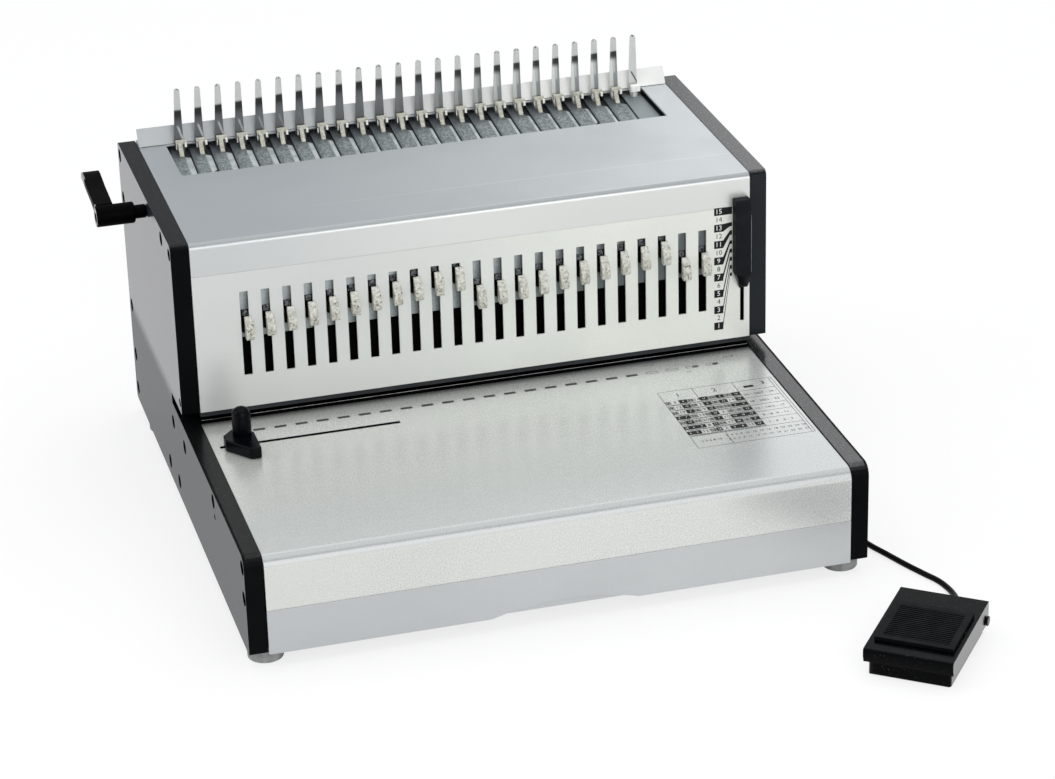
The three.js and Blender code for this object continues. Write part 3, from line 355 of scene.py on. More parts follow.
@dataclass(frozen=True)
class Finish:
    """A finish with broad patches of tone and a fine grain.

    Attributes:
        name: The material's name.
        colour: The main colour.
        shade: The colour of its darker patches.
        roughness: The mean roughness.
        spread: How far the roughness goes to either side.
        metallic: How much of a metal it is.
        patch: The size of the broad patches in millimetres.
        grain: The size of the grain in millimetres.
        depth: The depth of the grain in millimetres.
        shine: The level of its own reflection, where 0.5 is plain plastic.
    """

    name: str
    colour: Colour
    shade: Colour
    roughness: float = 0.5
    spread: float = 0.08
    metallic: float = 0.0
    patch: float = 18.0
    grain: float = 0.5
    depth: float = 0.01
    shine: float = 0.5

    def material(self) -> bpy.types.Material:
        """Make the material once.

        Returns:
            The material.
        """
        known = bpy.data.materials.get(self.name)
        if known is not None and known.get("finish_made"):
            return known
        graph = Paint(self.name)
        self.paint(graph)
        graph.material["finish_made"] = True
        return graph.material

    def two_tone(self, graph: Paint, patches: Signal) -> Socket:
        """Blend the main colour and the shade by the patches of a noise."""
        return graph.mix(patches.ramp(0.3, 0.7), self.colour, self.shade)

    def paint(self, graph: Paint) -> None:
        """Make this finish.

        Args:
            graph: The new material's graph.
        """
        broad = graph.noise(self.patch, 3.0)
        grain = graph.noise(self.grain, 2.0)
        colour = graph.mix(broad.ramp(0.35, 0.68), self.colour, self.shade)
        graph.set(
            Base_Color=colour,
            Roughness=self.roughness + (broad - 0.5) * (2 * self.spread) + (grain - 0.5) * self.spread,
            Metallic=self.metallic,
            Specular_IOR_Level=self.shine,
        )
        graph.relief(grain, self.depth)


@dataclass(frozen=True)
class SatinSilver(Finish):
    """Silver lacquered sheet: a soft metal sheen with a fine flake and a faint orange peel. Its colour
    carries painted light, brighter to the right, and may carry painted highlights, shade and reflections.

    Attributes:
        far: The colour at the right-hand end; the change towards it is painted light.
        reach: How far to either side of the middle the colour, with its painted light, goes on changing.
        flake: The size of the flakes in millimetres.
        peel: The size of the waves of the orange peel in millimetres.
        fold: The Y of a fold along which a faint pale line is painted as a highlight, or nothing.
        fold_fade: The X between which that painted highlight comes up.
        painted_lip_light: The left and right colour of the faces that look forwards, painted lighter where
            the light falls on them, or nothing.
        lip_end: The X from which such a face has its right-hand colour.
        painted_bend_shade: The darker colour painted as shade on the rounded bends, or nothing.
        near: The darker colour painted as shade on the flats towards the front edge, or nothing.
        front_shade_fade: The Y between which that painted shade comes up.
        painted_throat_reflection: The two Y between which the flats darken to the rear with a painted
            reflection of the dark throat, or nothing.
        slot: The two Y of a slot whose inside is painted dark as shade, or nothing.
        slot_shade_fade: The heights between which that painted shade comes up.
    """

    far: Colour = tone(214, 216, 214)
    reach: float = 190.0
    flake: float = 0.35
    peel: float = 6.0
    fold: float | None = None
    fold_fade: Span = (-170.0, 60.0)
    painted_lip_light: tuple[Colour, Colour] | None = None
    lip_end: float = 20.0
    painted_bend_shade: Colour | None = None
    near: Colour | None = None
    front_shade_fade: Span = (120.0, 25.0)
    painted_throat_reflection: Span | None = None
    slot: Span | None = None
    slot_shade_fade: Span = (76.15, 76.0)

    def paint(self, graph: Paint) -> None:
        """Make this finish.

        Args:
            graph: The new material's graph.
        """
        broad = graph.noise(self.patch, 2.0)
        flake = graph.noise(self.flake, 1.0)
        peel = graph.noise(self.peel, 1.0)
        # Painted light: the colour brightens from the left-hand end to the right-hand one.
        across = graph.mix(graph.axis(0).ramp(-self.reach, self.reach), self.colour, self.far)
        colour = graph.mix(flake.ramp(0.72, 0.3) * 0.3 + broad.ramp(0.35, 0.75) * 0.2, across, self.shade)
        # Painted highlight: a faint pale line along the fold.
        if self.fold is not None:
            line = graph.axis(1).band(self.fold - 0.2, self.fold + 0.2, 0.35)
            line = line * graph.axis(0).ramp(*self.fold_fade)
            colour = graph.mix(line * 0.4, colour, tone(238, 240, 240))
        # Painted shade: the flats darken towards the front edge.
        if self.near is not None:
            near = graph.axis(1).ramp(*self.front_shade_fade) * graph.flat()
            colour = graph.mix(near * 0.75, colour, self.near)
        # Painted reflection: the flats darken to the rear, where the dark throat is mirrored in them.
        if self.painted_throat_reflection is not None:
            fade = graph.axis(1).ramp(*self.painted_throat_reflection)
            colour = graph.mix(fade * fade * graph.flat() * 0.85, colour, tone(28, 30, 32))
        # Painted shade: the inside of the slot is near-black.
        if self.slot is not None:
            inside = graph.axis(1).band(*self.slot, 0.2) * graph.axis(2).ramp(*self.slot_shade_fade)
            colour = graph.mix(inside, colour, tone(4, 4, 5))
        # Painted shade: the rounded bends between the flats and the faces that look forwards are darkened.
        if self.painted_bend_shade is not None:
            bend_shade_mask = graph.facing(2).ramp(0.12, 0.35) * graph.facing(2).ramp(0.998, 0.93)
            colour = graph.mix(bend_shade_mask * graph.forward(0.02, 0.2), colour, self.painted_bend_shade)
        # Painted light: the faces that look forwards get their own lighter colours, lighter still to the
        # right.
        if self.painted_lip_light is not None:
            front = graph.mix(graph.axis(0).ramp(-self.reach, self.lip_end), *self.painted_lip_light)
            colour = graph.mix(graph.forward(0.85, 0.99), colour, front)
        graph.set(
            Base_Color=colour,
            Roughness=self.roughness + (broad - 0.5) * self.spread + (flake - 0.5) * 0.06,
            Metallic=self.metallic,
        )
        graph.relief(peel + flake * 0.12, self.depth)


@dataclass(frozen=True)
class SpeckledPaint(Finish):
    """Black powder paint whose fine texture shows pale specks, painted into its colour as glints.

    Attributes:
        speck: The colour of the specks, which are painted glints.
        speck_size: Their size in millimetres.
        speck_share: The height of the texture from which a speck shows.
        front: The darker colour painted as shade on the faces that look forwards, or nothing.
        flank: How strong the gloss is on the faces that look to the right.
    """

    speck: Colour = tone(150, 150, 152)
    speck_size: float = 0.8
    speck_share: float = 0.62
    front: Colour | None = None
    flank: float = 0.0

    def paint(self, graph: Paint) -> None:
        """Make this finish.

        Args:
            graph: The new material's graph.
        """
        broad = graph.noise(self.patch, 2.0)
        bumps = graph.noise(self.speck_size, 2.0)
        base = self.two_tone(graph, broad)
        # Painted shade: the faces that look forwards are darker.
        if self.front is not None:
            base = graph.mix(graph.forward(0.6, 0.95), base, self.front)
        self.spray(graph, base, bumps, 0.5)
        flank = graph.facing(0).ramp(0.55, 0.7) * self.flank
        graph.set(Coat_Weight=flank, Coat_Roughness=0.16, Coat_IOR=1.7)

    def spray(
        self, graph: Paint, base: Socket, bumps: Signal, glint_share: Signal | float
    ) -> None:
        """Lay the specks, which are painted glints, and the texture over a colour.

        Args:
            graph: The new material's graph.
            base: The colour between the specks.
            bumps: The height of the texture.
            glint_share: How much of the painted glints shows.
        """
        specks = bumps.ramp(self.speck_share, self.speck_share + 0.12)
        graph.set(
            Base_Color=graph.mix(specks * glint_share, base, self.speck),
            Roughness=self.roughness + (bumps - 0.5) * (2 * self.spread),
            Metallic=self.metallic,
            Specular_IOR_Level=self.shine,
        )
        graph.relief(bumps, self.depth)


@dataclass(frozen=True)
class PlatePaint(SpeckledPaint):
    """The side plates' paint: glossy on the broad faces, which carry a painted lavender-grey reflection, with
    painted light on the right plate, and matt black on the edges.

    Attributes:
        painted_side_reflection: The colour of the broad faces on the tower, a painted lavender-grey
            reflection.
        painted_right_front_light: The colour of the front of the right plate's tower, painted lighter as the
            light falls on it.
        edge_line: How far from the middle the black outer edge of the base's top starts.
        base_top: The heights between which that edge ends.
        tower: The heights between which the painted reflection on the broad faces gets light.
        middle: The X between which the left plate's values pass to the right one's, which has more painted
            light.
    """

    painted_side_reflection: Colour = tone(46, 51, 62)
    painted_right_front_light: Colour = tone(38, 42, 45)
    edge_line: float = 201.2
    base_top: Span = (80.0, 78.0)
    tower: Span = (76.5, 92.0)
    middle: Span = (-60.0, 60.0)

    def paint(self, graph: Paint) -> None:
        """Make this finish.

        Args:
            graph: The new material's graph.
        """
        broad = graph.noise(self.patch, 2.0)
        bumps = graph.noise(self.speck_size, 2.0)
        side = abs(graph.facing(0)).ramp(0.75, 0.98)
        up = graph.facing(2).ramp(0.55, 0.95)
        outer = abs(graph.axis(0)).ramp(self.edge_line, self.edge_line + 0.3)
        edge = outer * graph.axis(2).ramp(*self.base_top) * up
        right = graph.axis(0).ramp(*self.middle)
        height = graph.axis(2).ramp(*self.tower)
        base = self.two_tone(graph, broad)
        # Painted reflection: the broad outer faces are lighter, more so up the tower.
        base = graph.mix(side * (height * 0.2 + 0.5), base, self.painted_side_reflection)
        # Painted light on the front of the right plate's tower.
        front = graph.forward(0.8, 0.98) * right * height
        base = graph.mix(front, base, self.painted_right_front_light)
        base = graph.mix(edge, base, self.shade)
        # The pale specks are painted glints, shown most on the tops and more on the right plate.
        self.spray(graph, base, bumps, up * (right * 0.6 + 0.25) + side * 0.12)
        gloss = side * (height * 0.48 + 0.3) + up * (right * 0.7 + 0.28)
        graph.set(Coat_Weight=gloss * (1.0 - edge), Coat_Roughness=0.2, Coat_IOR=1.6)


@dataclass(frozen=True)
class Spangle(Finish):
    """Zinc-plated sheet: crystals of slightly different greys and a faint rolled grain.

    Attributes:
        crystal: The size of a crystal in millimetres.
    """

    crystal: float = 3.5

    def paint(self, graph: Paint) -> None:
        """Make this finish.

        Args:
            graph: The new material's graph.
        """
        edge, cell = graph.cells(self.crystal)
        value = Signal(graph, graph.node("ShaderNodeSeparateColor", {}, {0: cell}).outputs[0])
        rolled = graph.noise(self.grain, 3.0, (8.0, 1.0, 1.0))
        broad = graph.noise(self.patch, 3.0)
        share = value * 0.45 + broad.ramp(0.3, 0.7) * 0.55
        graph.set(
            Base_Color=graph.mix(share, self.colour, self.shade),
            Roughness=self.roughness + (value - 0.5) * self.spread + (rolled - 0.5) * self.spread,
            Metallic=self.metallic,
        )
        graph.relief(rolled + edge * 0.3, self.depth)


@dataclass(frozen=True)
class StripZinc(Finish):
    """The strips of the hook plate: mottled zinc, with painted shade at the rear and a painted highlight on
    the right slope.

    Attributes:
        slope: The colour of the painted highlight on the sloping part.
        rear: The dark colour painted as shade towards the rear of the strips; the left edge of each strip is
            darkened with it too.
        edge: The X of the first strip's right edge at the front.
        front: The Y of the front of the strips.
        skew: How far the edges go to the right for each millimetre back.
        wide: The width of the slope's painted highlight at the left, and how much of it is lost to the right.
        wide_fade: The X between which it is lost.
        slope_highlight_fade: The Y between which the slope's painted highlight comes up.
        rear_shade_fade: The Y between which painted shade darkens the strips to the rear.
        plain: The colour of the last strip, which has no slope.
        plain_from: The X between which that strip starts.
    """

    slope: Colour = tone(200, 206, 206)
    rear: Colour = tone(72, 77, 83)
    edge: float = -159.0
    front: float = 334.0
    skew: float = 0.048
    wide: Span = (4.6, 2.0)
    wide_fade: Span = (-150.0, 20.0)
    slope_highlight_fade: Span = (369.0, 361.0)
    rear_shade_fade: Span = (352.0, 371.0)
    plain: Colour = tone(136, 144, 147)
    plain_from: Span = (152.0, 154.0)

    def paint(self, graph: Paint) -> None:
        """Make this finish.

        Args:
            graph: The new material's graph.
        """
        x, y = graph.axis(0), graph.axis(1)
        mottle = graph.noise(self.patch, 3.0, (1.0, 2.2, 1.0))
        grain = graph.noise(self.grain, 2.0, (1.0, 6.0, 1.0))
        broad = graph.noise(11.0, 1.0)
        place = (x - (y - self.front) * self.skew - self.edge + PITCH * 40).wrapped(PITCH)
        from_edge = PITCH - place
        # Where the painted highlight on the sloping right part of each strip shows.
        width, lost = self.wide
        width -= x.ramp(*self.wide_fade) * lost
        share = (width - from_edge + (mottle - 0.5) * 1.6).ramp(-0.4, 0.7) * y.ramp(*self.slope_highlight_fade)
        plain = x.ramp(*self.plain_from)
        base = graph.mix(mottle.ramp(0.34, 0.66), self.colour, self.shade)
        # The left edge of each strip is darkened, and painted shade darkens the strips towards the rear.
        base = graph.mix(place.ramp(3.2, 0.4) * 0.6, base, self.rear)
        base = graph.mix(y.ramp(*self.rear_shade_fade) * 0.85, base, self.rear)
        base = graph.mix(plain, base, self.plain)
        # The painted highlight, patchy, on all but the last strip.
        bright = share * (broad.ramp(0.3, 0.6) * 0.5 + 0.5) * (1.0 - plain)
        graph.set(
            Base_Color=graph.mix(bright, base, self.slope),
            Roughness=self.roughness + (mottle - 0.5) * self.spread,
            Metallic=self.metallic,
        )
        graph.relief(mottle + grain * 0.3, self.depth)


@dataclass(frozen=True)
class SlotZinc(Finish):
    """The punch bar's plates behind the slots, with painted light at the left and top of each slot and
    painted shade downwards and to the right.

    Attributes:
        down: The heights between which painted shade darkens them downwards.
        far: The X between which painted shade darkens them to the right.
    """

    down: Span = (168.0, 152.0)
    far: Span = (-60.0, 150.0)

    def paint(self, graph: Paint) -> None:
        """Make this finish.

        Args:
            graph: The new material's graph.
        """
        place = (graph.axis(0) + PITCH * 40.5).wrapped(PITCH) - PITCH / 2
        down = graph.axis(2).ramp(*self.down)
        cloudy = graph.noise(self.patch, 3.0)
        grain = graph.noise(self.grain, 2.0, (1.0, 1.0, 7.0))
        far = graph.axis(0).ramp(*self.far)
        # Painted light and shade: light at each slot's left, darker downwards and to the right, with cloudy
        # patches.
        share = place.ramp(-2.4, 2.8) * 0.6 + down * 0.35 + (cloudy - 0.5) * 0.5 + far * 0.6
        graph.set(
            Base_Color=graph.mix(share.ramp(0.0, 1.0), self.colour, self.shade),
            Roughness=self.roughness + (cloudy - 0.5) * self.spread,
            Metallic=self.metallic,
        )
        graph.relief(grain, self.depth)


@dataclass(frozen=True)
class FingerChrome(Finish):
    """Bright plated fingers whose colour is a painted reflection: a pale tip, then a dark band, and a painted
    streak of light near the root.

    Attributes:
        first: The X of the first finger.
        tip: The height of the tips.
        root: The height at which the hooks hide them.
        pale: The share of the height taken by the pale painted reflection at the tip, at the left, and how
            much of it is lost.
        pale_fade: The X between which that is lost.
        right: The X between which the painted reflection on the fingers gets lighter.
        last: The X between which the last finger starts, which carries a pale painted reflection all over.
        streak_fade: The X between which the painted streak of light comes up.
    """

    first: float = -161.9
    tip: float = 243.9
    root: float = 209.0
    pale: Span = (0.42, 0.15)
    pale_fade: Span = (-170.0, -20.0)
    right: Span = (-30.0, 120.0)
    last: Span = (158.0, 162.0)
    streak_fade: Span = (-60.0, -160.0)

    def paint(self, graph: Paint) -> None:
        """Make this finish.

        Args:
            graph: The new material's graph.
        """
        x, z = graph.axis(0), graph.axis(2)
        cloudy = graph.noise(self.patch, 2.0)
        pale, lost = self.pale
        below = (self.tip - z) * (1 / (self.tip - self.root)) - (pale - x.ramp(*self.pale_fade) * lost)
        place = (x - (self.first - PITCH / 2)).wrapped(PITCH) - PITCH / 2
        right = x.ramp(*self.right)
        last = x.ramp(*self.last)
        # Painted reflection: darker near the top, lighter towards the root.
        colour = graph.mix(below.ramp(0.0, 0.45), self.shade, self.colour)
        # Painted highlight: a streak of light near the root of the left-hand fingers.
        streak = (place + (z - 213.0) * 0.3 + (cloudy - 0.5)).band(-0.3, 0.5, 0.6)
        streak = streak * z.band(208.0, 216.0, 3.0) * x.ramp(*self.streak_fade)
        colour = graph.mix(streak * 0.7, colour, tone(206, 208, 208))
        # Painted reflection on the right-hand fingers: lighter at each finger's left edge and down its
        # middle.
        light = graph.mix((place * -1.0).ramp(0.6, 1.8), tone(142, 146, 147), tone(218, 220, 216))
        middle = abs(place + 0.3).ramp(1.3, 0.2) * below.band(0.2, 0.4, 0.1)
        light = graph.mix(middle * 0.5, light, tone(226, 228, 224))
        colour = graph.mix(right * 0.9, colour, light)
        # Painted reflection: a dark band below the tip.
        dark = below.ramp(0.0, 0.03) * below.ramp(0.24, 0.1) * (1.0 - last)
        colour = graph.mix(dark * 0.95, colour, tone(10, 11, 13))
        # Painted reflection: a pale tip.
        painted_tip_reflection = below.ramp(0.035, -0.02)
        colour = graph.mix(painted_tip_reflection, colour, tone(186, 188, 186))
        # The last finger gets a pale painted reflection all over, with a dark line near its root.
        colour = graph.mix(last * 0.9, colour, tone(196, 198, 196))
        line = (place + (z - 213.5) * 0.5).band(-0.35, 0.35, 0.4) * z.band(209.0, 217.0, 1.5)
        colour = graph.mix(line * last, colour, tone(60, 61, 60))
        marks = cloudy.ramp(0.5, 0.6) * z.ramp(self.tip - 1.7, self.tip - 0.8)
        graph.set(
            Base_Color=graph.mix(marks * 0.8, colour, tone(52, 52, 54)),
            Roughness=self.roughness + (cloudy - 0.5) * self.spread,
            Metallic=self.metallic,
        )
        graph.relief(cloudy, self.depth)


@dataclass(frozen=True)
class SpeckledPlastic(Finish):
    """Pale moulded plastic with dark specks in it.

    Attributes:
        speck: The colour of the specks.
        speck_size: Their size in millimetres.
        speck_share: The height of the noise from which a speck shows.
    """

    speck: Colour = tone(78, 70, 54)
    speck_size: float = 1.1
    speck_share: float = 0.66

    def paint(self, graph: Paint) -> None:
        """Make this finish.

        Args:
            graph: The new material's graph.
        """
        broad = graph.noise(self.patch, 2.0)
        dots = graph.noise(self.speck_size, 2.0)
        base = self.two_tone(graph, broad)
        specks = dots.ramp(self.speck_share, self.speck_share + 0.08)
        graph.set(
            Base_Color=graph.mix(specks * 0.75, base, self.speck),
            Roughness=self.roughness + (broad - 0.5) * (2 * self.spread),
            Subsurface_Weight=0.08,
            Subsurface_Scale=0.002,
        )
        graph.relief(dots, self.depth)


# The far colours paint light onto the right-hand side of each sheet; the bend, near, lip, fold, rear and slot
# colours paint highlights, shade and reflections.
SATIN = SatinSilver(
    "satin_silver", tone(206, 208, 208), tone(184, 187, 187), 0.34, 0.05, 0.7, 60.0, depth=0.01
)
BASE_SATIN = SatinSilver(
    "base_silver", tone(208, 210, 205), tone(196, 198, 194), 0.27, 0.04, 0.42, 70.0, depth=0.008,
    far=tone(214, 217, 214), painted_bend_shade=tone(168, 171, 170), near=tone(188, 192, 192),
    painted_throat_reflection=(186.0, 199.0), slot=(157.9, 161.7),
)
DRAWER_SATIN = SatinSilver(
    "drawer_silver", tone(184, 187, 188), tone(170, 173, 174), 0.34, 0.04, 0.4, 70.0, depth=0.008,
    far=tone(196, 199, 199),
)
TOP_SATIN = SatinSilver(
    "top_silver", tone(176, 181, 184), tone(166, 171, 175), 0.36, 0.05, 0.6, 60.0, depth=0.01,
    far=tone(210, 215, 215), fold=236.8, painted_lip_light=(tone(197, 200, 200), tone(217, 219, 216)),
    painted_bend_shade=tone(150, 154, 155),
)
PANEL_SATIN = SatinSilver(
    "panel_silver", tone(208, 210, 208), tone(200, 202, 198), 0.38, 0.05, 0.3, 60.0, depth=0.008,
    far=tone(230, 233, 225), reach=120.0,
)
PLATE_BLACK = PlatePaint(
    "plate_black_paint", tone(7, 8, 9), tone(4, 5, 6), 0.42, 0.08, patch=30.0, depth=0.04, shine=0.04
)
THROAT_BLACK = Finish(
    "throat_black_paint", tone(44, 47, 50), tone(34, 36, 40), 0.34, 0.06, patch=25.0, grain=0.6, shine=0.2
)
# Near-black painted as shade inside the throat.
THROAT_SHADE = Finish("throat_shade", tone(5, 5, 7), tone(3, 3, 4), 0.4, 0.06, patch=25.0, shine=0.05)
ZINC = Spangle("zinc_plate", tone(150, 152, 156), tone(120, 122, 127), 0.42, 0.12, 0.7, 16.0, 0.7)
STRIP_ZINC = StripZinc(
    "hook_strip_zinc", tone(150, 159, 160), tone(100, 108, 110), 0.38, 0.16, 0.4, 1.5, 0.4, 0.02
)
SLOT_ZINC = SlotZinc("punch_bar_zinc", tone(170, 177, 178), tone(86, 93, 94), 0.42, 0.1, 0.2, 2.2, 0.5)
# Near-black for the pins' stems, and painted shade on the bar's front seen through the slots.
PIN_AND_SLOT_SHADE = Finish("pin_steel_and_slot_shade", tone(4, 4, 4), tone(2, 2, 2), 0.5, 0.1, 0.0, 8.0, shine=0.03)
# The fingers' two colours are mid-tones of their painted reflection.
CHROME = FingerChrome(
    "finger_chrome", tone(98, 101, 102), tone(38, 40, 42), 0.3, 0.08, 0.4, 1.3, 0.4, 0.004
)
STEEL = Finish("turned_steel", tone(168, 168, 166), tone(132, 132, 130), 0.3, 0.08, 1.0, 10.0)
MOTOR = Finish("motor_metal", tone(126, 128, 130), tone(98, 100, 103), 0.5, 0.1, 0.7, 14.0, 0.8, 0.03)
PLASTIC = Finish(
    "black_plastic", tone(6, 7, 11), tone(3, 4, 7), 0.24, 0.06, patch=9.0, grain=0.5, depth=0.012, shine=0.07
)
SLIDER_PLASTIC = Finish(
    "slider_plastic", tone(22, 26, 29), tone(17, 20, 23), 0.5, 0.06, patch=14.0, depth=0.012, shine=0.08
)
# Grey painted as the highlight along the size stop's right edge.
SLIDER_EDGE_HIGHLIGHT = Finish("slider_edge_highlight", tone(120, 123, 125), tone(84, 87, 89), 0.4, 0.1, 0.0, 6.0)
# Near-black painted as shade on the size stop's toe.
TOE_SHADE = Finish("slider_toe_shade", tone(4, 4, 5), tone(2, 2, 3), 0.2, 0.06, patch=9.0, shine=0.15)
LEVER_BLACK = Finish(
    "lever_black", tone(2, 2, 2), tone(1, 1, 1), 0.4, 0.06, patch=8.0, grain=0.4, depth=0.015, shine=0.02
)
# Grey painted as highlights on the lever's edges.
LEVER_EDGE_HIGHLIGHT = Finish("lever_edge_highlight", tone(168, 169, 170), tone(128, 129, 131), 0.4, 0.1, 0.3, 3.0)
PALE = SatinSilver(
    "pale_sheet", tone(176, 180, 181), tone(168, 171, 173), 0.4, 0.05, 0.1, 40.0, depth=0.006,
    far=tone(244, 244, 240), reach=120.0,
)
IVORY = SpeckledPlastic(
    "ivory_plastic", tone(206, 206, 196), tone(166, 165, 153), 0.42, 0.06, patch=2.0, depth=0.05,
    speck=tone(56, 50, 38), speck_size=1.5, speck_share=0.58,
)
CAP_WHITE = SpeckledPlastic(
    "cap_plastic", tone(214, 214, 206), tone(182, 181, 171), 0.36, 0.06, patch=2.0,
    speck=tone(60, 56, 46), speck_size=1.4, speck_share=0.6,
)
HOOK_GREY = SpeckledPlastic(
    "hook_plastic", tone(196, 195, 181), tone(166, 164, 150), 0.42, 0.06, patch=2.0, depth=0.04,
    speck_share=0.68,
)
HOOK_WHITE = Finish("hook_tip_white", tone(250, 250, 246), tone(238, 237, 230), 0.3, 0.06, patch=3.0)
PIN_GREY = Finish("pin_head_steel", tone(124, 127, 131), tone(24, 25, 28), 0.4, 0.1, 0.2, 1.2, shine=0.2)
FOOT_RUBBER = Finish(
    "grey_rubber", tone(150, 152, 150), tone(122, 124, 122), 0.7, 0.06, patch=6.0, depth=0.05
)
CORD_RUBBER = Finish(
    "cord_rubber", tone(8, 8, 10), tone(5, 5, 6), 0.42, 0.08, patch=6.0, depth=0.02, shine=0.08
)
PEDAL_PAINT = SpeckledPaint(
    "pedal_black_paint", tone(4, 5, 7), tone(2, 3, 4), 0.22, 0.08, patch=14.0, depth=0.05, shine=0.05,
    speck=tone(150, 153, 156), speck_size=0.8, speck_share=0.68, front=tone(1, 1, 2), flank=0.8,
)
PAD_RUBBER = Finish(
    "tread_rubber", tone(13, 15, 17), tone(8, 9, 11), 0.5, 0.08, patch=8.0, depth=0.03, shine=0.06
)
BOARD = Finish("board_laminate", tone(42, 96, 58), tone(32, 80, 48), 0.45, 0.06, patch=10.0)
SCREW_STEEL = Finish(
    "black_oxide_steel", tone(9, 9, 10), tone(5, 5, 6), 0.26, 0.08, 0.2, 2.0, 0.3, shine=0.2
)
INK = Finish(
    "black_ink", tone(24, 24, 25), tone(16, 16, 17), 0.5, 0.05, patch=4.0, grain=0.2, depth=0.002, shine=0.2
)
GREY_INK = Finish(
    "grey_ink", tone(66, 66, 62), tone(54, 54, 50), 0.5, 0.05, patch=4.0, grain=0.2, depth=0.002
)
FAINT_INK = Finish(
    "faint_ink", tone(150, 152, 149), tone(72, 74, 72), 0.5, 0.05, patch=0.7, depth=0.002
)
WHITE_INK = Finish(
    "white_ink", tone(236, 237, 236), tone(226, 227, 227), 0.5, 0.05, patch=4.0, depth=0.002
)


# Shapes

# Below the first angle, in degrees, two faces are one flat; up to the second, shading runs smoothly.
FLAT_ANGLE = 0.3
SMOOTH_ANGLE = 40.0
# How far printed figures stand up.
FIGURE_LIFT = 0.02
# The height of a figure as a share of the font's size.
CAPITAL_SHARE = 0.7


class Axis(Enum):
    """A direction of the machine's frame."""

    X = Vector((1, 0, 0))
    Y = Vector((0, 1, 0))
    Z = Vector((0, 0, 1))

    def rotation(self) -> Matrix:
        """The turn that takes +Z to this direction."""
        return Vector((0, 0, 1)).rotation_difference(self.value).to_matrix().to_4x4()


